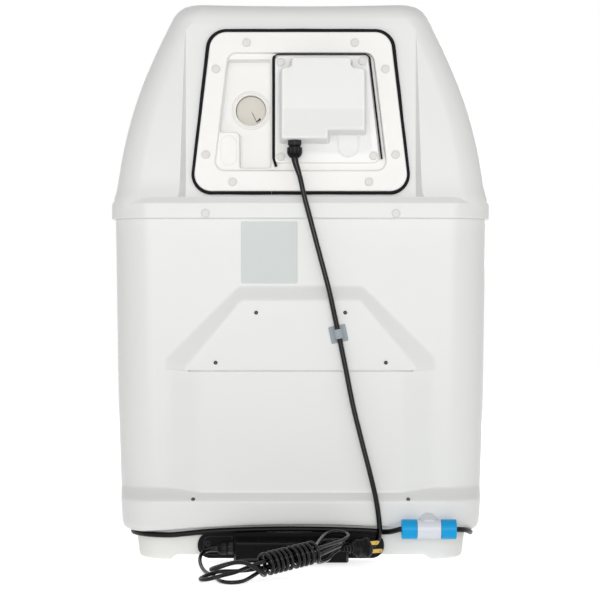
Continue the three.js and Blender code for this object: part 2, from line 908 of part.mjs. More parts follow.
// ---------------------------------------------------------------- fan cover and fan
const fanCoverCorners = [
  flat(fanCoverEdge, fanCoverFoot),
  flat(fanCoverEdge, fanCoverTop),
  flat(fanCoverTopEdge, fanCoverTop),
  flat(fanCoverFootEdge, fanCoverFoot),
];

// The raised box, stepped at its foot and notched round its two upper caps.
function fanBoxRing(y, inset) {
  return [
    [25 - inset, 539.5 + inset],
    [25 - inset, 627 - inset],
    [16 - inset, 629 - inset],
    [16 - inset, 642.5 - inset],
    [-70 + inset, 642.5 - inset],
    [-70 + inset, 630 - inset],
    [-81.5 + inset, 628 - inset],
    [-81.5 + inset, 552 + inset],
    [-36 + inset, 552 + inset],
    [-36 + inset, 539.5 + inset],
  ]
    .map(([x, z]) => point(x, y, z))
    .reverse();
}

function fanCover() {
  const flange = standing(rounded(fanCoverCorners, 4), shelf + gap, fanCoverFace);
  const front = fanCoverFace + fanBoxDepth;
  const box = loft([fanBoxRing(fanCoverFace - 1, 0), fanBoxRing(front, fanBoxDraft)]);
  const hollow = loft([
    fanBoxRing(shelf - 2, fanBoxWall),
    fanBoxRing(fanCoverFace, fanBoxWall),
    fanBoxRing(front - fanBoxWall, fanBoxDraft + fanBoxWall),
  ]);
  const slope = (back, inset) =>
    sideways(
      [
        flat(front - inset, 576),
        flat(front + 20, 576),
        flat(front + 20, 500),
        flat(back - inset, 500),
        flat(back - inset, 538),
      ],
      -120,
      60,
    );
  const lower = front - 7;
  return join(flange, box.subtract(slope(lower, 0))).subtract(
    hollow.subtract(slope(lower, fanBoxWall)),
  );
}
piece("fan_cover", fanCover(), "cover");

function fanCoverSeal() {
  const grown = (grow) => [
    flat(fanCoverEdge + grow, fanCoverFoot - 4),
    flat(fanCoverEdge + grow, fanCoverTop + grow),
    flat(fanCoverTopEdge - grow, fanCoverTop + grow),
    flat(fanCoverFootEdge - grow - 0.4, fanCoverFoot - 4),
  ];
  const outer = standing(rounded(grown(fanSealWidth), [0, 6, 6, 0]), shelf + gap, shelf + 5);
  const inner = standing(rounded(grown(gap), [0, 4, 4, 0]), shelf - 5, shelf + 10);
  const foot = block([-130, 60], [shelf - 5, shelf + 10], [fanCoverFoot - 10, fanCoverFoot + 4]);
  return outer.subtract(inner).subtract(foot);
}
piece("fan_cover_seal", fanCoverSeal(), "seal");

const fanBack = shelf + gap;
function fanFrame() {
  const half = fanSize / 2;
  const corners = [flat(half, -half), flat(half, half), flat(-half, half), flat(-half, -half)];
  const body = standing(rounded(corners, 5), 0, fanDepth);
  const bore = bar(point(0, -5, 0), point(0, fanDepth + 5, 0), fanBore, fanBore, 32);
  const hub = bar(point(0, 0, 0), point(0, 4, 0), hubRadius);
  const struts = [0, 120, 240].map((angle) =>
    block([hubRadius - 2, fanBore + 1], [0, 3], [-2, 2]).rotate([0, angle, 0]),
  );
  return join(body.subtract(bore), hub, ...struts);
}
piece("fan_frame", fanFrame(), "black", point(fanX, fanBack, fanZ));

function impeller() {
  const hub = bar(point(0, 0, 0), point(0, 17, 0), hubRadius);
  const blades = Array.from({ length: 7 }, (_, i) =>
    block([hubRadius - 2, fanBore - 1], [-0.8, 0.8], [-9, 9])
      .rotate([40, 0, 0])
      .translate([0, 8.5, 0])
      .rotate([0, (360 / 7) * i, 0]),
  );
  return join(hub, ...blades);
}
piece("fan_impeller", impeller(), "black", point(fanX, fanBack + 4 + gap, fanZ));

// ---------------------------------------------------------------- glands
// A hexagonal body and a domed nut, from one point to another.
function gland(from, to, radius) {
  const along = to.clone().sub(from);
  const at = (share) => from.clone().addScaledVector(along, share);
  return join(
    bar(at(0), at(0.32), radius, radius, 6),
    bar(at(0.3), at(0.45), radius * 0.72, radius * 0.72),
    bar(at(0.42), at(0.8), radius * 0.96, radius * 0.96, 12),
    bar(at(0.79), at(1), radius * 0.96, radius * 0.6, 12),
  );
}
const fanGlandY = fanCoverFace + 17;
piece(
  "fan_gland",
  gland(
    point(fanGlandX, fanGlandY, 539.5 - gap),
    point(fanGlandX, fanGlandY, fanGlandFoot),
    10,
  ),
  "black",
);
const mainsGlandY = boxBack + 20;
const mainsGlandZ = 18;
const mainsGlandEnd = 105;
piece(
  "mains_gland",
  gland(
    point(boxLeft + gap, mainsGlandY, mainsGlandZ),
    point(mainsGlandEnd, mainsGlandY, mainsGlandZ),
    7.5,
  ),
  "black",
);
const leadGlandY = boxBack + 9;
const leadGlandZ = 17;
const leadGlandEnd = -70;
piece(
  "lead_gland",
  gland(
    point(boxRight - gap, leadGlandY, leadGlandZ),
    point(leadGlandEnd, leadGlandY, leadGlandZ),
    7,
  ),
  "black",
);

// ---------------------------------------------------------------- fan lead and clip
const gableFace = rearWall + bulgeProud + gableProud;
const clipBase = 1.5;
const clipZ = 288;
const clipX = -47.8;
const leadAtClip = gableFace + gap + clipBase + gap + fanLeadRadius;
const leadAtSkirt = skirtBack + gap + fanLeadRadius + 0.6;
const fanLeadPoints = [
  point(fanGlandX, fanGlandY, fanGlandFoot - gap),
  point(fanGlandX, fanGlandY, 505),
  point(1, fanGlandY + 1.2, 487),
  point(-3.5, beltBack + 5.6, 463),
  point(-12, beltBack + 6.4, 434),
  point(-26, 291.5, 381),
  point(-35.5, 293, 345),
  point(-44.6, leadAtClip, 303),
  point(clipX, leadAtClip, clipZ),
  point(-51, leadAtClip, 273),
  point(-57.3, leadAtClip + 0.4, 242),
  point(-66, leadAtClip + 1.4, 198),
  point(-77.5, leadAtClip + 3, 151),
  point(-87, leadAtSkirt - 0.6, 114),
  point(-94.5, leadAtSkirt, 82),
  point(-98.5, leadAtSkirt, 56),
  point(-99.5, leadAtSkirt - 1.5, 40),
  point(-96.5, leadGlandY + 2, 26),
  point(-88, leadGlandY, leadGlandZ + 2),
  point(-78, leadGlandY, leadGlandZ),
  point(leadGlandEnd - gap, leadGlandY, leadGlandZ),
];
piece("fan_lead", tube(fanLeadPoints, fanLeadRadius, 46, 8), "black");

function clip() {
  const base = block([-11, 11], [0, clipBase], [-10.75, 10.75]);
  const centre = clipBase + gap + fanLeadRadius;
  const outer = fanLeadRadius + gap + 1.6;
  const arch = bar(point(0, centre, -6), point(0, centre, 6), outer, outer, 20).add(
    block([-outer, outer], [clipBase - 0.5, centre], [-6, 6]),
  );
  const room = fanLeadRadius + gap;
  return base.add(
    arch
      .subtract(bar(point(0, centre, -10), point(0, centre, 10), room, room, 20))
      .subtract(block([-20, 20], [-5, clipBase - 0.5], [-10, 10])),
  );
}
const clipMesh = piece("cable_clip", clip(), "clip", point(clipX, gableFace + gap, clipZ));
clipMesh.rotation.y = Math.atan2(-44.6 + 51, 303 - 273);

piece(
  "rating_label",
  standing(
    rounded([flat(76, 352), flat(76, 431), flat(4, 431), flat(4, 352)], 2.5),
    rearWall + gap,
    rearWall + gap + 0.5,
  ),
  "label",
);

// ---------------------------------------------------------------- terminal box
function terminalPlate() {
  const radius = (boxBackTop - boxFoot) / 2;
  const corners = [
    flat(plateLeft, boxFoot),
    flat(plateLeft, boxBackTop),
    flat(plateRight, boxBackTop),
    flat(plateRight, boxFoot),
  ];
  return standing(rounded(corners, radius - 0.1), plateBack, plateBack + plateThick);
}
piece("terminal_plate", terminalPlate(), "black");

function terminalBox() {
  const front = boxBack + boxDepth;
  const profile = [
    flat(boxBack, boxFoot),
    flat(front - 3, boxFoot),
    flat(front, boxFoot + 3),
    flat(front, boxFrontTop - 1.5),
    flat(front - 1.5, boxFrontTop),
    flat(boxBack, boxBackTop),
  ];
  const plan = [
    flat(boxLeft, boxBack - 5),
    flat(boxLeft, front - 9),
    flat(boxLeft - 5, front + 5),
    flat(boxRight + 5, front + 5),
    flat(boxRight, front - 9),
    flat(boxRight, boxBack - 5),
  ];
  return sideways(profile, boxRight, boxLeft).intersect(lying(plan, 0, 50));
}
piece("terminal_box", terminalBox(), "black");
[118, -92].forEach((x, i) => {
  const face = plateBack + plateThick + gap;
  const head = bar(point(0, 0, 0), point(0, 2.2, 0), 4, 3, 16);
  piece("plate_screw_" + (i + 1), head, "steel", point(x, face, i === 0 ? 22 : 17));
});

// ---------------------------------------------------------------- drain hose and tee
const teeHalf = teeLength / 2;
function drainTee() {
  const middle = teeLength / 2 - collarLength;
  const barrel = bar(
    point(teeX - middle + gap, teeY, teeZ),
    point(teeX + middle - gap, teeY, teeZ),
    collarRadius - 0.8,
  );
  const lean = point(0, -0.77, 0.64).multiplyScalar(30);
  const centre = point(teeX, teeY, teeZ);
  const branch = bar(centre, centre.clone().add(lean), collarRadius - 1, 7);
  const bodySide = block([teeX - 30, teeX + 30], [skirtBack - 40, skirtBack + gap], [0, 120]);
  return barrel.add(branch.subtract(bodySide));
}
piece("drain_tee", drainTee(), "clear");
[1, -1].forEach((side, i) => {
  const inner = teeX + side * (teeHalf - collarLength);
  const outer = teeX + side * teeHalf;
  const collar = bar(point(inner, teeY, teeZ), point(outer, teeY, teeZ), collarRadius);
  piece("tee_collar_" + (i + 1), collar, "blue");
});

const hoseY = panBack + hoseRadius + 0.5;
const hoseX = panHalf + hoseRadius + gap;
const portFace = portBack + gap;
const longHose = [
  point(teeX + teeHalf + gap, teeY, teeZ),
  point(teeX + teeHalf + 4, teeY, teeZ),
  point(-119, 303.5, 40.8),
  point(-112, 295.5, 38.4),
  point(-103.5, 287.5, 37),
  point(-90, hoseY + 0.4, 37.6),
  point(-60, hoseY, 39.5),
  point(0, hoseY, 41.3),
  point(60, hoseY, 40.4),
  point(120, hoseY, 36.8),
  point(145, hoseY, 34.4),
  point(165, hoseY, hoseHeight),
  point(185, hoseY - 3.8, hoseHeight),
  point(202, hoseY - 15.2, hoseHeight),
  point(213.4, hoseY - 32.5, hoseHeight),
  point(hoseX, hoseY - 52.5, hoseHeight),
  point(hoseX, 180, hoseHeight),
  point(hoseX, portFace, hoseHeight),
];
piece("drain_hose_1", tube(longHose, hoseRadius, 46, 8), "black");
const shortHose = [
  point(teeX - teeHalf - gap, teeY, teeZ),
  point(teeX - teeHalf - 4, teeY, teeZ),
  point(-212, teeY - 5, teeZ - 3),
  point(-220, teeY - 14, 37),
  point(-224.5, 283, hoseHeight - 0.4),
  point(-223.5, 266, hoseHeight - 0.4),
  point(-219.5, 246, hoseHeight),
  point(-hoseX, 224, hoseHeight),
  point(-hoseX, 180, hoseHeight),
  point(-hoseX, portFace, hoseHeight),
];
piece("drain_hose_2", tube(shortHose, hoseRadius, 22, 8), "black");

// ---------------------------------------------------------------- mains lead
const floorClear = mainsRadius + 0.4;
const mainsLeadPoints = [
  point(mainsGlandEnd + gap, mainsGlandY, mainsGlandZ),
  point(113, mainsGlandY + 0.5, mainsGlandZ - 0.5),
  point(122, mainsGlandY + 4, 14.5),
  point(128.5, 318, 10),
  point(130, 335, 6),
  point(127, 358, floorClear),
  point(119, 386, floorClear),
  point(110, 412, floorClear),
  point(103.3, 431.2, floorClear),
  point(99.7, 442.9, floorClear),
];
piece("mains_lead", tube(mainsLeadPoints, mainsRadius, 20, 8), "black");

// The tied hank: loops on the floor, a wrapped middle, and loops over the terminal box.
const wrapStart = point(47, 448, 17.5);
const wrapEnd = point(-20, 403, 28);
const wrapRadius = 16;
function hank() {
  const stadium = (length, radius) =>
    rounded(
      [
        flat(length + radius, -radius),
        flat(length + radius, radius),
        flat(-radius, radius),
        flat(-radius, -radius),
      ],
      radius - 0.1,
      6,
    );
  const floorLoops = lying(stadium(52, 24), 0.5, 14)
    .rotate([0, 0, 18])
    .translate([43, 450, 0]);
  const reach = point(-45, 326, 38).sub(wrapEnd);
  const bearing = (Math.atan2(reach.y, reach.x) * 180) / Math.PI;
  const climb = (Math.atan2(reach.z, Math.hypot(reach.x, reach.y)) * 180) / Math.PI;
  const boxLoops = lying(stadium(reach.length(), 16), -6, 6)
    .rotate([0, -climb, bearing])
    .translate(wrapEnd.toArray());
  const wrap = bar(wrapStart, wrapEnd, wrapRadius, wrapRadius, 16);
  return join(floorLoops, wrap, boxLoops);
}
piece("mains_hank", hank(), "black");

const plugStart = point(-62, 331, 20);
const plugWay = point(-0.9, -0.436, 0).normalize();
const alongPlug = (distance) => plugStart.clone().addScaledVector(plugWay, distance);
const leadEndPoints = [
  point(-23.2, 400.8, 14.6),
  point(-31, 390, 13.6),
  point(-42, 371, 14),
  point(-50, 354, 16.5),
  point(-55, 340, 19.2),
  alongPlug(-5),
  alongPlug(-gap),
];
piece("mains_lead_end", tube(leadEndPoints, mainsRadius, 10, 8), "black");

// The plug is rolled on its edge, so its local x and y stand on the diagonals.
const reliefLength = 10;
const plugLength = 24;
function alongPlugAxis(outline, from, to) {
  const geometry = new THREE.ExtrudeGeometry(new THREE.Shape(outline), {
    depth: to - from,
    bevelEnabled: false,
  });
  const side = point(0, 0, 1).cross(plugWay).normalize();
  const rise = plugWay.clone().cross(side);
  const x = side.clone().add(rise).normalize();
  const y = rise.clone().sub(side).normalize();
  geometry.applyMatrix4(new THREE.Matrix4().makeBasis(x, y, plugWay));
  return solidOf(geometry.translate(...alongPlug(from).toArray()));
}
const squareOutline = (half, radius) =>
  rounded([flat(half, -half), flat(half, half), flat(-half, half), flat(-half, -half)], radius, 4);
piece(
  "mains_plug",
  join(
    bar(alongPlug(0), alongPlug(reliefLength + 1), mainsRadius + 0.3, 6, 12),
    alongPlugAxis(squareOutline(plugSize / 2, 4), reliefLength, reliefLength + plugLength),
  ),
  "black",
);
[-1, 1].forEach((side, i) => {
  const middle = side * 6.35;
  const outline = [
    flat(middle + 0.75, -3.15),
    flat(middle + 0.75, 3.15),
    flat(middle - 0.75, 3.15),
    flat(middle - 0.75, -3.15),
  ];
  const start = reliefLength + plugLength + gap;
  piece("plug_blade_" + (i + 1), alongPlugAxis(outline, start, start + 13), "brass");
});

export default group;
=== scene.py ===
import math
from contextlib import contextmanager

import bmesh
import bpy
import numpy as np
from mathutils import Matrix, Vector


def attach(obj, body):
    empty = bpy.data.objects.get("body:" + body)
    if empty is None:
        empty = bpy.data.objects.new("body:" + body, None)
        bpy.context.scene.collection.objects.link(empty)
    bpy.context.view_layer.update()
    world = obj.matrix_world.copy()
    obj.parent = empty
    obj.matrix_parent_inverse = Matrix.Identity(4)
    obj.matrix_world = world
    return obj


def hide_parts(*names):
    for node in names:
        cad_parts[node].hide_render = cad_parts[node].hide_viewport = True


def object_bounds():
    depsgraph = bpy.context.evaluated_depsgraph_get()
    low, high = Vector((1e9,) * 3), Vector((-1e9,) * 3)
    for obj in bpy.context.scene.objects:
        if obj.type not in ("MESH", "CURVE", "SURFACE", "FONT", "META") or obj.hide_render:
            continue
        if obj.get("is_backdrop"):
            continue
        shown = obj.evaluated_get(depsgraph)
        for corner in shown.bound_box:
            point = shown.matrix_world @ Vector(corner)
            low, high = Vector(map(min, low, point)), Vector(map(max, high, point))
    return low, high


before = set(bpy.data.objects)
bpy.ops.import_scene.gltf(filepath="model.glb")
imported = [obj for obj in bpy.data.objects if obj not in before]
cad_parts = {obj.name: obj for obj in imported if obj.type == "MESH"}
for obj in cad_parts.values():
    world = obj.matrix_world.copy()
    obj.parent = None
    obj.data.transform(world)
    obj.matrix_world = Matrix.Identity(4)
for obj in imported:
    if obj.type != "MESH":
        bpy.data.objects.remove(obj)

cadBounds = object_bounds()
mm = 0.001  # shapes are written in millimetres and stored in metres
sideways, rearward, frontward = (1, 0, 0), (0, 1, 0), (0, -1, 0)  # the directions of axles
print("frame loaded:", len(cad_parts), "nodes")

# Camera: level, behind the toilet, looking at the service hood.
cameraView = {"x": 0.9, "y": 2676, "z": 331, "lens": 113.1}
cameraData = bpy.data.cameras.new("camera")
cameraData.lens = cameraView["lens"]
cameraData.sensor_width = 36
cameraData.clip_end = 50
camera = bpy.data.objects.new("camera", cameraData)
camera.location = [cameraView[axis] * mm for axis in "xyz"]
camera.rotation_euler = (math.radians(90), 0, math.radians(180))
bpy.context.scene.collection.objects.link(camera)
bpy.context.scene.camera = camera


# Mesh tools
@contextmanager
def reshaping(mesh):  # opens a mesh for edits and writes it back
    shape = bmesh.new()
    shape.from_mesh(mesh)
    yield shape
    shape.to_mesh(mesh)
    shape.free()


def newPiece(name, points, faces):
    mesh = bpy.data.meshes.new(name)
    mesh.from_pydata([(x * mm, y * mm, z * mm) for x, y, z in points], [], faces)
    with reshaping(mesh) as shape:
        bmesh.ops.remove_doubles(shape, verts=shape.verts, dist=1e-6)
        bmesh.ops.recalc_face_normals(shape, faces=shape.faces)
    piece = bpy.data.objects.new(name, mesh)
    bpy.context.scene.collection.objects.link(piece)
    return piece


def loft(name, rings, closed=False):  # a skin through rings of equal length
    count = len(rings[0])
    points = [p for row in rings for p in row]
    total = len(points)
    faces = []
    for r in range(len(rings) if closed else len(rings) - 1):
        for i in range(count):
            a, b = r * count + i, r * count + (i + 1) % count
            faces.append((a, b, (b + count) % total, (a + count) % total))
    if not closed:
        faces += [tuple(range(count)), tuple(range(total - count, total))]
    return newPiece(name, points, faces)


def settle(piece):  # applies the modifiers
    bpy.context.view_layer.update()
    graph = bpy.context.evaluated_depsgraph_get()
    settled = bpy.data.meshes.new_from_object(piece.evaluated_get(graph))
    settled.name = piece.name
    piece.modifiers.clear()
    piece.data = settled
    return piece


def combine(piece, others, operation):
    for other in others:
        step = piece.modifiers.new(operation, "BOOLEAN")
        step.operation = operation
        step.object = other
        step.solver = "MANIFOLD"
    settle(piece)
    for other in others:
        bpy.data.objects.remove(other)
    return piece


def cut(piece, *others):
    return combine(piece, others, "DIFFERENCE")


def join(piece, *others):
    return combine(piece, others, "UNION")


def soften(piece, width, segments=3, angle=35):  # rounds the edges
    step = piece.modifiers.new("round", "BEVEL")
    step.width = width * mm
    step.segments = segments
    step.limit_method = "ANGLE"
    step.angle_limit = math.radians(angle)
    return settle(piece)


def insetFlats(piece, width):  # keeps the painted edge highlight off the wide faces
    with reshaping(piece.data) as shape:
        wide = [face for face in shape.faces if face.calc_area() > 4e-4]
        bmesh.ops.inset_individual(shape, faces=wide, thickness=width * mm)


def roundedOutline(corners, radii, steps=8):
    outline = []
    for i, corner in enumerate(corners):
        radius = radii[i] if isinstance(radii, (list, tuple)) else radii
        here = Vector(corner)
        before = (Vector(corners[i - 1]) - here).normalized()
        after = (Vector(corners[(i + 1) % len(corners)]) - here).normalized()
        half = math.acos(max(-1, min(1, before.dot(after)))) / 2
        if radius <= 0:
            outline.append(here)
            continue
        centre = here + (before + after).normalized() * (radius / math.sin(half))
        start = here + before * (radius / math.tan(half)) - centre
        turn = (math.pi - 2 * half) * math.copysign(1, after.cross(before))
        for k in range(steps + 1):
            outline.append(centre + Matrix.Rotation(turn * k / steps, 2) @ start)
    return outline


def upright(outline, y):  # an outline of x and z, standing at y
    return [(x, y, z) for x, z in outline]


def level(outline, z):
    return [(x, y, z) for x, y in outline]


def sideRing(outline, x):
    return [(x, y, z) for y, z in outline]


def box(name, x, y, z):
    outline = [(x[0], y[0]), (x[1], y[0]), (x[1], y[1]), (x[0], y[1])]
    return loft(name, [level(outline, z[0]), level(outline, z[1])])


def rectangle(low, high, radius):  # rounded, from its low to its high corner
    (x0, z0), (x1, z1) = low, high
    return roundedOutline([(x1, z0), (x1, z1), (x0, z1), (x0, z0)], radius)


def layers(outlineOf, foot, steps):  # upright rings: each is so far from the foot, with its inset
    return [upright(outlineOf(inset), foot + rise) for rise, inset in steps]


def plate(name, low, high, radius, foot, steps, fade=0):  # its corners tighten by fade
    def outline(inset):
        corner = radius if fade == 0 else radius - fade * inset
        return rectangle((low[0] + inset, low[1] + inset), (high[0] - inset, high[1] - inset), corner)

    return loft(name, layers(outline, foot, steps))


def arcSpots(across, up, radius, start, end, step):
    turns = [math.radians(angle) for angle in range(start, end, step)]
    return [(across + radius * math.cos(turn), up + radius * math.sin(turn)) for turn in turns]


def trapezoid(shape, grow=0, steps=10):  # foot, top, half width at each, radius
    foot, top, footHalf, topHalf, radius = shape
    corners = [
        (footHalf + grow, foot - grow),
        (topHalf + grow, top + grow),
        (-topHalf - grow, top + grow),
        (-footHalf - grow, foot - grow),
    ]
    return roundedOutline(corners, max(radius + grow, 1), steps)


def turned(name, profile, start, direction, sides=48):  # rows of along, radius and any edges
    turn = Vector((0, 0, 1)).rotation_difference(Vector(direction)).to_matrix()
    rings = []
    for along, radius, *edges in profile:
        ring = []
        for k in range(sides):
            angle = 2 * math.pi * k / sides
            reach = radius
            if edges and edges[0] > 0:  # that many flats, as on a nut
                part = 2 * math.pi / edges[0]
                reach *= math.cos(part / 2) / math.cos((angle % part) - part / 2)
            elif edges:  # below zero, that many grip ribs
                reach *= 1 - 0.035 * (1 - math.cos(-edges[0] * angle)) / 2
            spot = Vector((reach * math.cos(angle), reach * math.sin(angle), along))
            ring.append(Vector(start) + turn @ spot)
        rings.append(ring)
    return loft(name, rings)


def rod(radius, low, high, start, direction, sides=48):  # also cuts a round hole
    return turned("rod", [(low, radius), (high, radius)], start, direction, sides)


def between(a, b, start, end, t):
    return a * ((end - t) / (end - start)) + b * ((t - start) / (end - start))


def smoothRoute(anchors, step):  # an even, smooth route through the anchors
    known = [Vector(p) for p in anchors]
    known = [known[0] * 2 - known[1]] + known + [known[-1] * 2 - known[-2]]
    route = []
    for a, b, c, d in zip(known, known[1:], known[2:], known[3:]):
        t1 = math.sqrt((b - a).length)
        t2 = t1 + math.sqrt((c - b).length)
        t3 = t2 + math.sqrt((d - c).length)
        pieces = max(1, round((c - b).length / step))
        for k in range(pieces):
            t = t1 + (t2 - t1) * k / pieces
            ab, bc, cd = between(a, b, 0, t1, t), between(b, c, t1, t2, t), between(c, d, t2, t3, t)
            route.append(between(between(ab, bc, 0, t2, t), between(bc, cd, t1, t3, t), t1, t2, t))
    return route + [known[-2]]


def relaxed(route, passes):  # a route with its kinks eased out
    for _ in range(passes):
        middle = [(a + b * 2 + c) / 4 for a, b, c in zip(route, route[1:], route[2:])]
        route = [route[0], *middle, route[-1]]
    return route


def cable(name, route, radius, taper=None):
    curve = bpy.data.curves.new(name, "CURVE")
    curve.dimensions = "3D"
    curve.bevel_depth = radius * mm
    curve.bevel_resolution = 5
    curve.use_fill_caps = True
    spline = curve.splines.new("POLY")
    spline.points.add(len(route) - 1)
    for i, spot in enumerate(route):
        spline.points[i].co = (*(Vector(spot) * mm), 1)
        if taper:
            spline.points[i].radius = np.interp(i, (0, len(route) - 1), taper)
    piece = bpy.data.objects.new(name, curve)
    bpy.context.scene.collection.objects.link(piece)
    return piece


def routeLength(route):
    return sum((b - a).length for a, b in zip(route, route[1:])) * mm


# Finishes: slot, colour as seen, roughness, grain per metre and its depth, colour change, wear.
finishColumns = ("slot", "colour", "roughness", "grain", "depth", "change", "wear")
finishRows = {
    "body": ("body_plastic", (236, 237, 235), 0.3, 900, 0.05, 0.008, 0.006),
    "pan": ("pan_plastic", (242, 242, 238), 0.42, 900, 0.08, 0.01, 0.01),
    "cover": ("cover_plastic", (238, 238, 236), 0.3, 500, 0.06, 0.008, 0.006),
    # pocket: the same plastic as cover, made lighter as painted light that lifts the recessed rear cover out
    # of its shade
    "pocket": ("cover_plastic", (250, 249, 246), 0.34, 500, 0.08, 0.01, 0.01),
    "cap": ("cap_plastic", (230, 229, 224), 0.4, 1500, 0.1, 0.02, 0.05),
    "foam": ("seal_foam", (26, 25, 30), 0.85, 2500, 0.6, 0.25, 0.1),
    "black": ("black_plastic", (11, 11, 12), 0.36, 1500, 0.12, 0.15, 0.006),
    "cord": ("black_plastic", (6, 6, 7), 0.12, 700, 0.05, 0.15, 0.01),
    "hose": ("hose_rubber", (14, 14, 15), 0.34, 900, 0.12, 0.2, 0.05),
    "clip": ("clip_plastic", (158, 168, 174), 0.45, 1200, 0.15, 0.04, 0.06),
    "label": ("label_film", (216, 221, 220), 0.5, 300, 0.03, 0.01, 0.01),
    "blue": ("tee_blue", (0, 163, 226), 0.3, 900, 0.1, 0.06, 0.03),
    "clear": ("tee_clear", (238, 242, 249), 0.22, 700, 0.05, 0.02, 0.02),
    "gloss": ("black_plastic", (9, 9, 10), 0.28, 1200, 0.08, 0.15, 0.004),
    "brass": ("brass", (212, 178, 92), 0.28, 2000, 0.1, 0.1, 0.15),
    "steel": ("steel", (186, 188, 192), 0.32, 2000, 0.1, 0.06, 0.1),
    "darkScrew": ("steel", (84, 76, 70), 0.4, 2000, 0.1, 0.1, 0.1),
    "liner": ("liner_plastic", (222, 217, 207), 0.35, 900, 0.1, 0.03, 0.06),
    "drum": ("drum_plastic", (92, 95, 97), 0.6, 600, 0.3, 0.08, 0.1),
}
finishExtras = {  # shine, metal and glass, and the colour and reach of the edge tint: worn edges on most finishes, a painted highlight on the cover, black and gloss finishes
    # cover: the near-white edge colour is a painted highlight along the fan cover's crease and outer edges
    "cover": {"wearAndHighlight": (252, 252, 251), "edge": 0.8, "edgeFrom": (0.506, 0.524)},
    # black: the grey edge colour is a painted highlight on the edges of the plate, glands, plug and crank
    "black": {"shine": 0.1, "wearAndHighlight": (96, 98, 102), "edge": 0.4, "edgeFrom": (0.52, 0.58)},
    # gloss: the grey edge colour is a painted highlight along the terminal box's edges
    "gloss": {"shine": 0.1, "wearAndHighlight": (70, 72, 76), "edge": 0.3, "edgeFrom": (0.52, 0.58)},
    "cord": {"shine": 0.3, "wearAndHighlight": (40, 40, 42)},
    "foam": {"shine": 0.2},
    "hose": {"shine": 0.2},
    "blue": {"shine": 0.25},
    "clear": {"glass": 0.12},
    "brass": {"metal": 1},
    "steel": {"metal": 1},
    "darkScrew": {"metal": 1},
}


def linearColour(colour):
    shares = [c / 255 for c in colour]
    return [s / 12.92 if s <= 0.04045 else ((s + 0.055) / 1.055) ** 2.4 for s in shares]


def feed(tree, source, socket):  # a number, a colour or another node's output
    if isinstance(source, bpy.types.NodeSocket):
        tree.links.new(source, socket)
    else:
        socket.default_value = source


def remapped(tree, value, start, end, low, high):
    remap = tree.nodes.new("ShaderNodeMapRange")
    for socket, source in zip(remap.inputs, (value, start, end, low, high)):
        feed(tree, source, socket)
    return remap.outputs["Result"]


def larger(tree, first, second):
    node = tree.nodes.new("ShaderNodeMath")
    node.operation = "MAXIMUM"
    feed(tree, first, node.inputs[0])
    feed(tree, second, node.inputs[1])
    return node.outputs["Value"]


def mixed(tree, share, first, second):  # two colours
    mix = tree.nodes.new("ShaderNodeMix")
    mix.data_type = "RGBA"
    for index, source in ((0, share), (6, first), (7, second)):
        feed(tree, source, mix.inputs[index])
    return mix.outputs[2]


def makeFinish(name, values):
    material = bpy.data.materials.new(name)
    material.use_nodes = True
    tree = material.node_tree
    nodes, link = tree.nodes, tree.links.new
    shader = nodes["Principled BSDF"].inputs
    place = nodes.new("ShaderNodeTexCoord").outputs["Object"]

    def noise(scale, detail, spot=place):
        texture = nodes.new("ShaderNodeTexNoise")
        texture.inputs["Scale"].default_value = scale
        texture.inputs["Detail"].default_value = detail
        link(spot, texture.inputs["Vector"])
        return texture.outputs["Fac"]

    # Broad patches, fine upright scuffs and a tint on convex edges make the colour; the edge tint is wear on
    # most finishes and a painted highlight on the cover, black and gloss finishes.
    colour, change = linearColour(values["colour"]), values["change"]
    darker = [c * (1 - change) for c in colour] + [1]
    lighter = [min(1, c * (1 + change)) for c in colour] + [1]
    wearAndHighlight = linearColour(values["wearAndHighlight"]) if "wearAndHighlight" in values else [c * 0.93 for c in colour]
    patches = mixed(tree, remapped(tree, noise(9, 2), 0.2, 0.8, 0, 1), darker, lighter)
    stretched = nodes.new("ShaderNodeMapping")
    stretched.inputs["Scale"].default_value = (1, 1, 0.12)
    link(place, stretched.inputs["Vector"])
    wear = values["wear"] * 4
    scuffs = remapped(tree, noise(160, 6, stretched.outputs["Vector"]), 0.62, 0.75, 0, wear)
    # Pointiness picks out convex edges: darker as wear by default, lighter as a painted highlight where a
    # finish gives a light edge colour.
    edges = nodes.new("ShaderNodeNewGeometry").outputs["Pointiness"]
    edgeWearAndHighlight = remapped(tree, edges, *values.get("edgeFrom", (0.53, 0.6)), 0, values.get("edge", wear))
    link(mixed(tree, larger(tree, scuffs, edgeWearAndHighlight), patches, wearAndHighlight + [1]), shader["Base Color"])

    rough = values["roughness"]
    link(remapped(tree, noise(45, 2), 0.2, 0.8, rough * 0.96, rough * 1.05), shader["Roughness"])
    bump = nodes.new("ShaderNodeBump")
    bump.inputs["Strength"].default_value = values["depth"]
    bump.inputs["Distance"].default_value = 0.0004
    link(noise(values["grain"], 3), bump.inputs["Height"])
    link(bump.outputs["Normal"], shader["Normal"])
    shader["Metallic"].default_value = values.get("metal", 0)
    shader["Specular IOR Level"].default_value = values.get("shine", 0.5)
    shader["Transmission Weight"].default_value = values.get("glass", 0)
    return material


materials = {}
for name, row in finishRows.items():
    materials[name] = makeFinish(name, dict(zip(finishColumns, row)) | finishExtras.get(name, {}))
print("finishes made")

made = []


# Gives a piece its finish and its body, and hides the nodes that it stands for.
def dress(piece, finish, *nodes, body="body", slotName=None, sharp=32):
    piece.data.materials.clear()
    piece.data.materials.append(materials[finish])
    if piece.type == "MESH":
        mesh = piece.data
        mesh.polygons.foreach_set("material_index", [0] * len(mesh.polygons))
        mesh.polygons.foreach_set("use_smooth", [True] * len(mesh.polygons))
        mesh.set_sharp_from_angle(angle=math.radians(sharp))
        steady = piece.modifiers.new("steady", "WEIGHTED_NORMAL")
        steady.keep_sharp = True
    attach(piece, body)
    slotName or finishRows[finish][0]
    if nodes:
        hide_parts(*nodes)
    made.append(piece)
    return piece


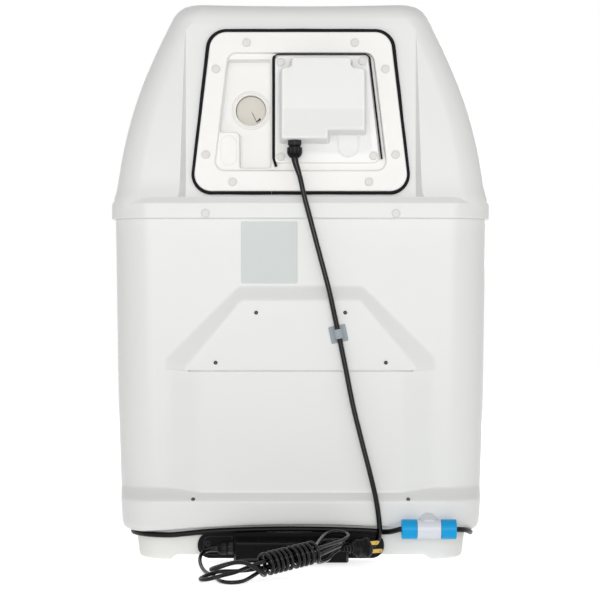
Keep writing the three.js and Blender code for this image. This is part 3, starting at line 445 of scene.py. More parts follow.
# Mains lead: out of its gland, down to the floor, a tied hank, and the plug.
mainsLead = {
    "radius": 2.4,
    "toFloor": [
        (105.3, 302.6, 18), (111.5, 303.2, 18), (118.5, 309, 17), (123.4, 324, 14.6),
        (124.8, 346, 11), (122, 372, 6.4), (115, 402, 2.9), (106.5, 425, 2.7),
        (101.5, 442, 2.7), (97.5, 462, 2.7), (91, 480, 2.7), (80.5, 487, 2.7),
        (69, 481, 3), (60, 466, 5),
    ],
    "wrapStart": (47, 448, 17.5),
    "wrapEnd": (-20, 403, 28),
    "wrapRadius": 13.6,
    "wrapSteps": [9.5, 7.2, 6.7, 6.7, 7, 9.6, 6.8, 6.7, 7.2, 8.4],
    "strand": 4.3,  # each strand from the middle of the bundle
    "boxLoopWay": (-25, -77, 10),
    "plugStart": (-62, 331, 21.8),
    "plugWay": (-0.9, -0.436, 0),
}
wrapStart, wrapEnd, plugStart = (Vector(mainsLead[key]) for key in ("wrapStart", "wrapEnd", "plugStart"))


def sideAndRise(way):  # the directions beside and above it
    side = Vector((0, 0, 1)).cross(way).normalized()
    return side, way.cross(side)


wrapWay = (wrapEnd - wrapStart).normalized()
loopWay = Vector(mainsLead["boxLoopWay"]).normalized()
plugWay = Vector(mainsLead["plugWay"]).normalized()
wrapSide, wrapRise = sideAndRise(wrapWay)
loopSide, loopRise = sideAndRise(loopWay)
plugSide, plugRise = sideAndRise(plugWay)


def inBundle(along, side, rise):
    return wrapStart + wrapWay * along + wrapSide * side + wrapRise * rise


def onBox(along, side, rise):
    return wrapEnd + loopWay * along + loopSide * side + loopRise * rise


def strand(side, rise, outward=True):
    offset = mainsLead["strand"]
    spots = [inBundle(a, side * offset, rise * offset) for a in (1, 20, 40, 60, 80)]
    return spots if outward else spots[::-1]


def wraps():
    spots, along, perTurn = [], 0.5, 14
    start, reach = math.radians(225), mainsLead["wrapRadius"]
    for number, pitch in enumerate(mainsLead["wrapSteps"]):
        for k in range(perTurn):
            angle = start + 2 * math.pi * (number + k / perTurn)
            side, rise = reach * math.cos(angle), reach * math.sin(angle)
            spots.append(inBundle(along + pitch * k / perTurn, side, rise))
        along += pitch
    angle = start + math.radians(35)
    spots.append(inBundle(along + 1, reach * math.cos(angle), reach * math.sin(angle)))
    return spots


# Loops: the two on the box are along, beside and above the way of the bundle.
lowBoxLoop = [
    (12, -7.5, -3.5), (34, -12, -4), (55, -15, -4.8), (71, -11.5, -5.4),
    (80, 1, -5.4), (73, 12, -5.4), (55, 15, -4.8), (34, 11, -4), (12, 6.5, -3.2),
]
highBoxLoop = [
    (12, -7, 3.6), (30, -12, 2.8), (50, -17, 1.6), (70, -18.5, 1.4), (85, -11, 2.4),
    (88, 1, 3.2), (80, 10, 3.2), (60, 11, 3), (34, 8.5, 3.2), (12, 5.5, 3.6),
]
floorLoop = [
    (62, 447.5, 11.5), (80, 446.5, 10.2), (98, 446, 9.8), (110, 449, 6), (118, 458, 3.8),
    (117.5, 470, 3.6), (108, 480, 5.4), (94, 480.5, 9.6), (78, 472, 12), (62, 461, 17),
]
archLoop = [
    (64, 451.5, 23.5), (80, 454, 21.5), (94, 455, 18), (106, 462, 15), (105, 473, 15.5),
    (94, 478.5, 19.5), (80, 475.5, 24), (66, 470, 24), (55, 466, 18), (46.5, 461, 11.2),
]
toPlug = [
    (-23.6, 399, 14.6), (-28, 387, 13.8), (-33, 372, 14), (-37, 358, 16.2), (-41.6, 346.6, 19.4),
    plugStart - plugWay * 16, plugStart - plugWay * 9, plugStart - plugWay * 0.3,
]
mainsAnchors = mainsLead["toFloor"] + strand(-1, -1)
mainsAnchors += [onBox(*spot) for spot in lowBoxLoop] + strand(1, -1, False)
mainsAnchors += floorLoop + strand(-1, 1)
mainsAnchors += [onBox(*spot) for spot in highBoxLoop] + strand(1, 1, False)
mainsAnchors += archLoop + wraps() + toPlug
mainsRoute = relaxed(smoothRoute(mainsAnchors, 2.6), 9)
mainsCord = cable("mainsCord", mainsRoute, mainsLead["radius"])
dress(mainsCord, "cord", "mains_lead", "mains_hank", "mains_lead_end", slotName="cable_jacket")

plug = {"relief": 4, "body": 22, "width": 24, "height": 19, "bladeGap": 6.35, "blade": 16}


def plugPoint(x, y, along):  # the plug lies on its edge
    across = (plugSide + plugRise).normalized()
    up = (plugRise - plugSide).normalized()
    return plugStart + plugWay * along + across * x + up * y


def plugRing(half, reach, radius, along):
    outline = rectangle((-half, -reach), (half, reach), radius)
    return [plugPoint(x, y, along) for x, y in outline]


plugHalf, plugReach = plug["width"] / 2, plug["height"] / 2
plugEnd = plug["relief"] + plug["body"]
plugSteps = [  # narrower, lower, corner radius, along
    (6.5, 4, 5.2, -1.5), (4.5, 2.5, 6, 0), (3, 1.8, 7, 2.5), (1.2, 0.7, 7, 5), (1.6, 0.9, 7, 9),
    (1.8, 1, 7, 13), (1.2, 0.6, 7, 16), (0, 0, 7, 17.5), (0, 0, 7, 20.5), (0.7, 0.7, 6.6, 21.6),
    (2, 2, 5.5, 22),
]
plugBody = loft("mainsPlug", [
    plugRing(plugHalf - narrower, plugReach - lower, corner, plug["relief"] + along)
    for narrower, lower, corner, along in plugSteps
])
dress(plugBody, "black", "mains_plug")
reliefProfile = [(-17, 2.55), (-15.5, 3), (-12, 3.4)]
for k in range(5):  # the ribs of the strain relief
    along, radius = 4 * k - 11, 3.2 + 0.4 * k
    for step, rise in ((0, 0.6), (1.6, 0.7), (2, 0), (3.6, 0.1)):
        reliefProfile.append((along + step, radius + rise))
plugRelief = dress(turned("plugRelief", reliefProfile, plugStart, plugWay, 32), "black")
for number, side in ((1, -1), (2, 1)):
    start, end = plugEnd + 0.3, plugEnd + 0.3 + plug["blade"]
    middle = side * plug["bladeGap"]
    rings = []
    for along, half, reach in (
        (start - 3, 0.75, 3.15), (end - 2.2, 0.75, 3.15), (end - 0.8, 0.62, 2.7), (end, 0.3, 1.9)
    ):
        outline = [(half, -reach), (half, reach), (-half, reach), (-half, -reach)]
        rings.append([plugPoint(middle + x, y, along) for x, y in outline])
    blade = loft(f"plugBlade{number}", rings)
    holeWay = plugPoint(1, 0, 0) - plugPoint(0, 0, 0)
    cut(blade, rod(1.6, -4, 4, plugPoint(middle, 0, end - 3.6), holeWay, 24))
    soften(blade, 0.15, 2)
    dress(blade, "brass", f"plug_blade_{number}")
mainsRelief = dress(cable("mainsRelief", mainsRoute[:10], 4.2, (1, 0.64)), "cord")
round(routeLength(mainsRoute), 2)
print("mains lead:", round(routeLength(mainsRoute), 3), "m")

# Fan lead: from the fan cover's gland, through the clip, to the terminal box.
fanLead = {
    "radius": 3.25,
    "anchors": [
        (7.7, 286.6, 511.4), (6.9, 286.6, 506.5), (4.2, 287.1, 497.5), (0.9, 287.8, 486.5),
        (-4.4, 288.7, 463), (-12, 288.8, 434), (-26, 289.8, 381), (-35.5, 290.4, 345),
        (-44.6, 290.35, 303), (-47.8, 290.35, 288), (-51, 290.35, 273), (-57.3, 291, 242),
        (-66, 292.6, 198), (-77.5, 295, 151), (-87, 297.2, 114), (-94.5, 298.3, 82),
        (-98.5, 298.5, 56), (-99.5, 297.15, 40), (-96.5, 293.6, 26), (-88, 291.6, 19),
        (-78, 291.6, 17), (-70.3, 291.6, 17),
    ],
}
fanRoute = smoothRoute(fanLead["anchors"], 3)
fanCord = dress(cable("fanCord", fanRoute, fanLead["radius"]), "cord", "fan_lead", slotName="cable_jacket")
fanRelief = dress(cable("fanRelief", fanRoute[:9], 4.6, (1, 0.72)), "cord")
leadRelief = dress(cable("leadRelief", fanRoute[-8:], 4.7, (0.7, 1)), "cord")
round(routeLength(fanRoute), 2)

# Drain hoses: from the tee to the two ports of the base pan.
drainHose = {
    "radius": 3.4,
    "long": [
        (-128.2, 308, 43), (-124.5, 308, 43), (-119, 303.5, 40.8), (-112, 295.5, 38.4),
        (-103.5, 288.5, 37.4), (-90, 286.6, 38.2), (-60, 286.4, 39.5), (0, 286.4, 40.6),
        (60, 286.4, 40), (120, 286.4, 37.4), (145, 285, 34.8), (165, 283.5, 32.9),
        (185, 279.7, 32.9), (202, 268.3, 32.9), (213.4, 251, 32.9), (216.8, 231, 32.9),
        (216.8, 180, 32.9), (216.8, 120, 32.9),
    ],
    "short": [
        (-192, 308, 43), (-199, 306, 42.5), (-206, 299, 41.3), (-212, 288, 39),
        (-216, 272, 35.6), (-217, 252, 33.2), (-216.8, 224, 32.9), (-216.8, 180, 32.9),
        (-216.8, 120, 32.9),
    ],
}
for number, key in ((1, "long"), (2, "short")):
    hoseRoute = smoothRoute(drainHose[key], 4)
    hose = cable(f"drainHose{number}", hoseRoute, drainHose["radius"])
    dress(hose, "hose", f"drain_hose_{number}")
print("cords placed")


# A level ring: back, corner, side, corner, front, and round again.
def planRing(z, half, back, front, backRound, frontRound, counts):
    nBack, nSide, nFront, nCorner = counts
    backX, frontX = half - backRound, half - frontRound
    backY, frontY = back - backRound, front + frontRound

    def line(x0, y0, x1, y1, n):
        return [(x0 + (x1 - x0) * k / n, y0 + (y1 - y0) * k / n) for k in range(n)]

    def arc(x, y, radius, start):
        spots = []
        for k in range(nCorner):
            angle = math.radians(start + 90 * k / nCorner)
            spots.append((x + radius * math.cos(angle), y + radius * math.sin(angle)))
        return spots

    ring = line(backX, back, -backX, back, nBack) + arc(-backX, backY, backRound, 90)
    ring += line(-half, backY, -half, frontY, nSide) + arc(-frontX, frontY, frontRound, 180)
    ring += line(-frontX, front, frontX, front, nFront) + arc(frontX, frontY, frontRound, 270)
    ring += line(half, frontY, half, backY, nSide) + arc(backX, backY, backRound, 0)
    return [(x, y, z) for x, y in ring]


def blurred(z, heights, values, blur=1.5):  # rounds the breaks between levels
    return float(np.mean(np.interp(z + np.linspace(-blur, blur, 7), heights, values)))


def softMin(a, b, width):
    share = np.maximum(width - np.abs(a - b), 0)
    return np.minimum(a, b) - share * share / (4 * width)


def softMax(a, b, width):
    return -softMin(-a, -b, width)


# Lower casing, with its ledge, house-shaped bulge and raised gable.
casing = {
    "half": 240, "rear": 276, "front": -275, "round": 48, "wall": 4,
    "heights": [37.3, 39, 42, 46, 50, 77, 92, 190, 450],
    "sides": [18, 14.8, 12.4, 11, 10.4, 8.8, 7.6, 4, 0],
    "back": [14, 16.2, 17.3, 17.9, 18, 18, 0, 0, 0],
    "frontInset": [3, 1.5, 0.5, 0, 0, 0, 0, 0, 0],
    "arch": {"half": 200, "rise": 9, "foot": 37.3, "top": 77},  # in the rear lower edge
    "counts": (190, 40, 48, 16),
}
bulge = {"plane": 275, "half": 173, "top": 350, "house": 7.5, "gable": 9.5}
groove = {"foot": 239.9, "top": 242, "half": 143, "depth": 2.4}


def insideEdge(across, z, corner, rise, run):  # how far inside a slope from the corner
    return ((corner[1] - z) * rise - (across - corner[0]) * run) / math.hypot(rise, run)


def bulgeSurface(x, z):  # a low house with a prouder gable above its groove
    across = np.abs(x)
    top = (bulge["top"] - z) / 19
    side = bulge["house"] * (bulge["half"] - across) / 44
    house = softMin(softMin(side, bulge["house"] * top, 1.5), np.full_like(x, bulge["house"]), 1.2)
    outer = insideEdge(across, z, (78, bulge["top"]), 95, 90)
    inner = insideEdge(across, z, (76, 331), 70, 85)
    share = outer / np.maximum(outer - inner, 4)
    share = np.where(outer > 0, share, outer * 0.05)
    share = softMin(softMin(share, (bulge["half"] - across) / 25, 0.15), top, 0.15)
    gable = bulge["gable"] * softMin(share, np.ones_like(x), 0.1)
    belowGable = z < groove["top"]
    sunk = np.where((z > groove["foot"]) & belowGable & (across < groove["half"]), groove["depth"], 0)
    return bulge["plane"] + np.where(belowGable, house, gable) - sunk


def archLift(x, y):
    arch = casing["arch"]
    return arch["rise"] * np.clip(1 - (x / arch["half"]) ** 2, 0, 1) * np.clip((y - 240) / 30, 0, 1)


def casingRing(z, inset, proud, frontInset, wall=0):
    corner = casing["round"] - wall
    return np.array(planRing(
        z, casing["half"] - inset - wall, casing["rear"] + proud - wall, casing["front"] + frontInset + wall,
        corner, corner, casing["counts"],
    ))


def casingRings():
    arch, heights = casing["arch"], casing["heights"]
    insets = [casing[key] for key in ("sides", "back", "frontInset")]
    grooveRows = [groove["foot"] - 0.2, groove["foot"] + 0.2, groove["top"] - 0.2, groove["top"] + 0.1]
    rings = []
    for z in np.unique(np.concatenate([np.arange(39.2, 449, 2.25), heights[:5], grooveRows, [450]])):
        ring = casingRing(z, *(blurred(z, heights, inset, 1.2 if z > 52 else 0.01) for inset in insets))
        x, y = ring[:, 0], ring[:, 1]
        facing = (y > casing["rear"] - 2) & (np.abs(x) < 180) & (z > 76)
        ring[:, 1] = np.where(facing, softMax(y, bulgeSurface(x, ring[:, 2]), 1.2), y)
        ring[:, 2] += archLift(x, y) * np.clip((arch["top"] - z) / (arch["top"] - arch["foot"]), 0, 1)
        rings.append([tuple(p) for p in ring])
    for z in (450, 190, 92, 77, 50, 37.3):  # back down inside
        inset, proud, frontInset = (np.interp(z, heights, inset) for inset in insets)
        low = z < 60
        ring = casingRing(z, max(inset, 12.4) if low else inset, proud, frontInset, casing["wall"])
        lift = archLift(ring[:, 0], ring[:, 1]) * low
        ring[:, 2] += lift * (arch["top"] - z) / (arch["top"] - arch["foot"])
        rings.append([tuple(p) for p in ring])
    return rings


drumAxle = 283  # height of the drum's axle
lowerCasing = loft("lowerCasing", casingRings(), closed=True)
drawerRoom = box("room", (-166, 166), (-290, -265), (55, 117.5))
cut(lowerCasing, drawerRoom, rod(20.6, 0, 30, (0, -290, drumAxle), rearward))
dress(lowerCasing, "body", "lower_casing")
print("lower casing:", len(lowerCasing.data.polygons), "faces")

# Upper shell: belt, deck and service hood in one moulding.
hood = {
    "heights": [450, 456, 484, 531, 604, 658, 688, 693],
    "half": [237.9, 237.5, 235.5, 227, 206, 183, 169, 165.8],
    "backInset": [0, 0, 1, 3, 6, 8.5, 10, 10.6],
    "lean": [0, 0, 0.1, 0.3, 0.62, 0.83, 0.95, 0.97],
    "roll": [  # height, half width, inset at the back, lean
        (697, 164, 11.6, 1), (701, 161.4, 13.4, 1.05), (705.5, 157, 16.8, 1.12),
        (709, 151.5, 21, 1.2), (711.2, 145, 26, 1.29), (712, 137, 33, 1.38),
    ],
    "front": 156, "leanReach": 40, "rear": 276, "pane": 266, "wall": 4, "sag": 2.4, "top": 712,
    "counts": (40, 12, 24, 18),
}


def sagAt(x):  # the roof dips in the middle
    return hood["sag"] * max(0, 1 - (x / 150) ** 2)


def hoodRing(z, half, backInset, lean, inset=0):
    front = hood["front"] + hood["leanReach"] * lean + inset
    back = hood["rear"] - backInset - inset
    if inset:
        back = min(hood["pane"], hood["rear"] - backInset) - inset
    depth = back - front
    backRound, frontRound = min(34 - inset, depth * 0.55), min(22 - inset, depth * 0.4)
    ring = planRing(z, half - inset, back, front, backRound, frontRound, hood["counts"])
    share = max(0, (z - 690) / 22) ** 1.5
    return [(x, y, h - share * sagAt(x)) for x, y, h in ring]


def hoodRings(inset=0):
    rings = []
    keys = ("half", "backInset", "lean")
    bend = [np.poly1d(np.polyfit(hood["heights"][2:], hood[key][2:], 4)) for key in keys]
    for z in np.unique(np.concatenate([np.arange(450, 693, 6), [462, 693]])):
        half, backInset, lean = (
            float(fit(z)) if z >= 500 else blurred(z, hood["heights"], hood[key], 4)
            for fit, key in zip(bend, keys)
        )
        flare = max(0, min(1, (488 - z) / 26)) ** 2.4
        if not inset:
            half += 3 * flare
            backInset -= 2.3 * flare
        rings.append(hoodRing(z, half, backInset, lean, inset))
    if inset:
        rings.append(hoodRing(702, 155 + inset, 16, 1.05, inset))
        rings.append(hoodRing(708, 140 + inset, 24, 1.2, inset))
        return rings
    rings += [hoodRing(*row) for row in hood["roll"]]
    rim, middle = rings[-1], 225
    for share in (0.85, 0.6, 0.3, 0.06):
        rings.append([
            (x * share, middle + (y - middle) * share, hood["top"] - sagAt(x * share)) for x, y, z in rim
        ])
    return rings


belt = {"half": 244.5, "back": 283, "front": -282, "round": 52}
beltShape = [(435, 0.8), (435.8, 0), (453.6, 0), (455, 0.5), (460.8, 3.6), (462, 4.4)]  # height, inset
deckShape = [  # height, inset at the sides and at the front
    (450, 1, 1), (462, 1, 1), (475, 1.5, 2.6), (479, 2.4, 3.6), (482, 4.6, 5.6), (483.5, 7.4, 8),
    (484, 10.5, 11),
]
plainCounts = (8, 8, 8, 20)
beltRings = []
for z, inset in beltShape:
    half, back, front = belt["half"] - inset, belt["back"] - inset * 1.15, belt["front"] + inset
    corner = belt["round"] - inset
    beltRings.append(planRing(z, half, back, front, corner, corner, plainCounts))
deckRings = []
for z, side, front in deckShape:
    half, back, corner = belt["half"] - side, 178 - max(0, side - 2), belt["round"] - 1 - side
    deckRings.append(planRing(z, half, back, belt["front"] + front, 20, corner, plainCounts))
upperShell = loft("upperShell", beltRings)
join(upperShell, loft("deck", deckRings), loft("hood", hoodRings()))

rearCover = {  # each outline is its foot, top, half width at each, and radius
    "outline": (469.8, 673.2, 138.6, 114.2, 22),
    "pocket": (496.4, 646.4, 110.4, 92.5, 12),
    "face": 271.3, "shelf": 265.3, "well": 246.3,
}
rimRoom = loft("room", [planRing(z, 240.3, 276.3, -275.3, 48, 48, plainCounts) for z in (430, 450.3)])
deckRoom = loft("room", [planRing(z, 236, 188, -271, 14, 48, plainCounts) for z in (449, 480)])
paneFoot = 462.2
paneRoom = loft("room", [
    upright([(half, paneFoot), (half, top), (-half, top), (-half, paneFoot)], y)
    for half, top, y in ((146.5, 684, 266), (147.5, 684.3, 266.4), (155, 686, 276.4), (157.5, 686, 278))
])
openingRoom = loft("room", [upright(trapezoid(rearCover["outline"], -12), y) for y in (250, 275)])


def oval(half, reach, z, count=96):  # the plan of the bowl, seat and lid
    middle, turns = -84, [2 * math.pi * k / count for k in range(count)]
    return [(half * math.cos(turn), middle + reach * math.sin(turn), z) for turn in turns]


bowlRoom = loft("room", [oval(111, 136, 470), oval(111, 136, 490)])
cut(upperShell, rimRoom, deckRoom, loft("inside", hoodRings(hood["wall"])), paneRoom, openingRoom, bowlRoom)
dress(upperShell, "body", "upper_shell")
print("upper shell:", len(upperShell.data.polygons), "faces")


# Rear cover with its stepped pocket.
def stack(name, shape, foot, steps):  # a rounded trapezoid that grows or shrinks
    return loft(name, layers(lambda grow: trapezoid(shape, grow), foot, steps))


def wellOutline(grow):
    corners = [
        (38 - grow, 500 - grow), (78 + grow, 500 - grow), (78 + grow, 546 - grow),
        (104.1 + grow, 546 - grow), (93.6 + grow, 638 + grow), (38 - grow, 638 + grow),
    ]
    inner, outer = max(3 + grow, 0.6), max(7 - grow, 0.6)
    return roundedOutline(corners, [inner, inner, outer, inner, inner * 1.4, inner], 6)


coverFace, shelf, well = (rearCover[key] for key in ("face", "shelf", "well"))
coverSteps = [(-5, 0), (-1.9, 0), (-0.9, -0.3), (-0.3, -0.9), (0, -1.8)]
coverPlate = stack("rearCover", rearCover["outline"], coverFace, coverSteps)
tray = stack("tray", rearCover["pocket"], shelf, [(-3, 1.8), (-2.5, 2.5), (4.7, 2.5)])
join(coverPlate, tray, loft("deepTray", layers(wellOutline, well, [(-3, 2.5), (17.7, 2.5)])))
trayRoom = stack("room", rearCover["pocket"], shelf, [
    (0, -1.6), (0.3, -0.8), (1.1, -0.2), (4.6, 0.2), (5.5, 0.7), (6, 1.5), (6.3, 2.4), (9.7, 3),
])
wellRoom = loft("room", layers(wellOutline, well, [
    (0, -2.2), (0.4, -1.1), (1.5, -0.4), (17.5, 0.2), (18.5, 0.7), (19.1, 1.8), (21.7, 2.4),
]))
vent = {"x": 64, "z": 575, "mouth": 249.3, "bore": 19.5, "outside": 22}


def ventPart(name, profile, y, sides=72):
    return turned(name, profile, (vent["x"], y, vent["z"]), rearward, sides)


fanRoom = rod(35, 0, 20, (-27, 255, 597), rearward, 64)
ventRoom = ventPart("room", [(0, vent["outside"] + 0.3), (20, vent["outside"] + 0.3)], 235, 64)
cut(coverPlate, trayRoom, wellRoom, fanRoom, ventRoom)
dress(coverPlate, "pocket", "rear_cover")

boss = {"x": 92, "z": 522, "half": 10.6, "reach": 19.6}


def bossOutline(inset):
    half, reach = boss["half"] - inset, boss["reach"] - inset
    low, high = (boss["x"] - half, boss["z"] - reach), (boss["x"] + half, boss["z"] + reach)
    return roundedOutline([(high[0], low[1]), high, (low[0], high[1]), low], half - 0.02, 10)


ovalBoss = loft("ovalBoss", layers(bossOutline, shelf, [
    (-0.5, 0), (0.5, 0), (1, 0.35), (1.25, 0.9), (1.3, 1.9), (1.1, 2.4), (1.05, 4),
]))
dress(ovalBoss, "pocket")
markProfile = [(-0.3, 3.2), (0.3, 3.2), (0.45, 3), (0.45, 2.5), (0.1, 2.2)]
mouldMark = dress(turned("mouldMark", markProfile, (93, well, 578), rearward, 32), "pocket")


# Foam strips
def evenly(outline, count):  # the same closed outline in even steps
    spots = [Vector(p) for p in outline]
    spots.append(spots[0])
    lengths = np.cumsum([0] + [(b - a).length for a, b in zip(spots, spots[1:])])
    targets = np.linspace(0, lengths[-1], count, endpoint=False)
    xs = np.interp(targets, lengths, [p[0] for p in spots])
    zs = np.interp(targets, lengths, [p[1] for p in spots])
    return list(zip(xs, zs))


def foamRing(name, shape, inner, outer, low, high, wobble):
    section = [
        (inner, low), (outer, low), (outer + 0.3, (low + high) / 2), (outer, high - 0.5),
        (outer - 0.8, high), (inner + 0.6, high), (inner, high - 0.4),
    ]
    rings = []
    for number, (grow, y) in enumerate(section):
        ring = []
        for i, (x, z) in enumerate(evenly(trapezoid(shape, grow, 16), 420)):
            sway = math.sin(i * 0.21) * 0.5 + math.sin(i * 0.083 + 1) * 0.5
            away = Vector((x, z - 573)).normalized() * sway * wobble * (1 if 1 < number < 5 else 0)
            ring.append((x + away.x, y, z + away.y))
        rings.append(ring)
    return loft(name, rings, closed=True)


coverSeal = foamRing("rearCoverSeal", rearCover["outline"], 0.2, 3.9, 266.1, 270.6, 0.25)
cut(coverSeal, box("slit", (36.7, 37.4), (260, 280), (460, 475)))
dress(coverSeal, "foam", "rear_cover_seal")

sealPath = roundedOutline(
    [(31.2, 501.4), (34.7, 512), (34.7, 645), (-87.6, 645), (-103.6, 511)], [0, 8, 7, 7, 0], 8
)


def strip(name, path, section):  # thinner along the top, thicker on the vent's side
    rings = []
    for i, here in enumerate(path):
        before, after = path[max(i - 1, 0)], path[min(i + 1, len(path) - 1)]
        way = (Vector(after) - Vector(before)).normalized()
        share = 0.4 if here[1] > 642 else 1.05 if here[0] > 30 else 0.7
        out = Vector((way.y, -way.x)) * share
        rings.append([(here[0] + out.x * u, y, here[1] + out.y * u) for u, y in section])
    return loft(name, rings)


stripSection = [(-1.5, 265.4), (1.5, 265.4), (1.7, 268), (1.3, 270), (-1.2, 270.2), (-1.5, 269.6)]
fanSeal = strip("fanCoverSeal", sealPath, stripSection)
dress(fanSeal, "foam", "fan_cover_seal")

# Screw caps and the small screws of the casing
capProfile = [(0, 5.35), (0.9, 5.35), (1.35, 5.1), (1.65, 4.6), (1.8, 3.9), (1.84, 1.5), (1.85, 0.2)]
capRows = [  # node, face, places on both sides, places on one side
    ("rear_cover_cap", coverFace + 0.3, [(69, 659.4), (108, 625.6), (121, 516.4), (87, 481.8)], []),
    ("fan_cover_cap", 269.9, [], [(25.6, 634.6), (-79, 636), (25.6, 513.8), (-93, 515)]),
    ("belt_cap", belt["back"] + 0.3, [(121, 441)], []),
]
for node, y, paired, single in capRows:
    places = [(x * side, z) for x, z in paired for side in (1, -1)] + single
    for number, (x, z) in enumerate(places, 1):
        cap = turned(node.replace("_", "") + str(number), capProfile, (x, y, z), rearward, 40)
        dress(cap, "cap", f"{node}_{number}")
screwProfile = [(-1, 2.5), (0.5, 2.5), (1.1, 2.2), (1.5, 1.6), (1.6, 1), (0.6, 0.9), (0.5, 0.2)]
screwRows = [(56.5, 284.6, 315), (108, 284.6, 251.5), (136, 292, 78.8)]
for number, (x, y, z) in enumerate([(side * x, y, z) for x, y, z in screwRows for side in (1, -1)], 1):
    screw = dress(turned(f"casingScrew{number}", screwProfile, (x, y, z), rearward, 24), "darkScrew")
print("rear cover, seals and caps placed")

# Vent socket and its damper
bore, outside = vent["bore"], vent["outside"]
ventTube = ventPart("ventTube", [
    (-52, outside), (-6.6, outside), (-6.5, outside + 4), (-3.6, outside + 4), (-3.5, outside),
    (-1.2, outside), (-0.4, outside - 0.2), (0, outside - 0.7),
], vent["mouth"])
boreProfile = [(-60, bore), (-0.9, bore), (-0.3, bore + 0.3), (0, bore + 1), (2, bore + 1.5)]
cut(ventTube, ventPart("bore", boreProfile, vent["mouth"]))
dress(ventTube, "pocket", "vent_tube")
ventCollar = ventPart("ventCollar", [(-0.5, 25), (0.3, 25), (1.2, 24.4), (1.7, 23.4), (1.8, 22.2)], well)
cut(ventCollar, ventPart("bore", [(-3, 22.05), (5, 22.05)], well))
dress(ventCollar, "pocket")
damperFront = [(-1.4, 18.9), (0.4, 18.9), (0.3, 18), (0, 14), (-0.2, 9), (-0.3, 4), (-0.3, 0.4)]
damperBack = [(-3.4, 0.4), (-3.3, 9), (-2.2, 18), (-1.5, 18.9), (-1, 18.9)]
damper = ventPart("ventDamper", damperFront, 238, 64)
join(damper, ventPart("back", damperBack, 238, 64))
slit = box("slit", (-0.35, 0.35), (230, 245), (-17.5, 2))
slit.data.transform(Matrix.Rotation(math.radians(28), 4, "Y"))
slit.data.transform(Matrix.Translation((vent["x"] * mm, 0, vent["z"] * mm)))
notch = loft("notch", [upright([(51.2, 563.6), (57.6, 560.6), (53, 566.4)], y) for y in (230, 245)])
cut(damper, slit, notch)
join(damper, rod(1.6, -18.8, 18.8, (vent["x"], 235.6, vent["z"]), (0, 0, 1), 24))
dress(damper, "liner", "vent_damper", body="damper")

# Fan cover: a flange with a stepped box, sloped below its crease.
fanCover = {"face": 269.6, "depth": 42, "crease": 571.5, "slope": 9 / 38, "foot": 506, "top": 643}


def flangeOutline(inset):
    foot, top = fanCover["foot"] + inset, fanCover["top"] - inset
    corners = [(33 - inset, foot), (33 - inset, top), (-86 + inset, top), (-101 + inset, foot)]
    return roundedOutline(corners, [4 - inset, 8 - inset, 8 - inset, 8 - inset], 8)


def fanBoxOutline(inset):
    step, foot = 541.2 + inset * 1.4, 530.5 + inset * 1.4
    corners = [
        (27 - inset, foot), (27 - inset, 626 - inset), (14 - inset, 627 - inset), (14 - inset, 639 - inset),
        (-66 + inset, 639 - inset), (-66 + inset, 626.5 - inset), (-83.5 + inset, 625 - inset),
        (-83.5 + inset, step), (-37 + inset, step), (-37 + inset, foot),
    ]
    return roundedOutline(corners, [3, 5, 5, 4, 4, 5, 5, 3, 2.5, 3], 6)


def tongueOutline(inset):
    right, left, foot, top = -47 - inset, -75 + inset, 512.6 + inset, 548
    corners = [(right, foot), (right, top), (left, top), (left, foot)]
    return roundedOutline(corners, [13.9 - inset, 0, 0, 13.9 - inset], 14)


def fanBox(name, steps):
    piece = loft(name, layers(fanBoxOutline, fanCover["face"] + fanCover["depth"], steps))
    crease = fanCover["crease"]
    with reshaping(piece.data) as shape:
        for z in np.arange(crease - 3, crease + 3.5, 1):
            parts = shape.verts[:] + shape.edges[:] + shape.faces[:]
            bmesh.ops.bisect_plane(shape, geom=parts, plane_co=(0, 0, z * mm), plane_no=(0, 0, 1))
        for vert in shape.verts:  # the face slopes back below the crease
            share = max(0, (vert.co.y / mm - fanCover["face"]) / fanCover["depth"])
            under = crease - vert.co.z / mm
            under = under if under > 1.5 else max(0, under + 1.5) ** 2 / 6
            vert.co.y -= share * under * fanCover["slope"] * mm
    return piece


flangeFace = fanCover["face"]
flangeSteps = [(-4, 0), (-1, 0), (-0.3, 0.4), (0, 1.2)]
fanFlange = loft("fanCover", layers(flangeOutline, flangeFace, flangeSteps))
join(fanFlange, fanBox("box", [  # its last two rings keep the painted edge highlight off the face
    (-44.6, -0.6), (-41.6, -0.5), (-41, 0.1), (-3, 2.7), (-1.2, 3.2), (-0.3, 4.1), (0, 5.2), (0, 6.6), (0, 9),
]))
cut(fanFlange, fanBox("hollow", [(-51.6, 2.5), (-41.6, 2.5), (-2.5, 5.5)]))
dress(fanFlange, "cover", "fan_cover")
tongue = loft("fanCoverTongue", layers(tongueOutline, flangeFace, [
    (-0.4, 0), (0.6, 0), (1.2, 0.4), (1.4, 1), (1.2, 1.6), (0.7, 2.2), (0.6, 3.4),
]))
dress(tongue, "cover")
dotProfile = [(-0.2, 1.5), (0.4, 1.4), (0.7, 0.8), (0.75, 0.1)]
dress(turned("fanCoverDot", dotProfile, (-60.5, flangeFace + 0.5, 527.5), rearward, 20), "cover")

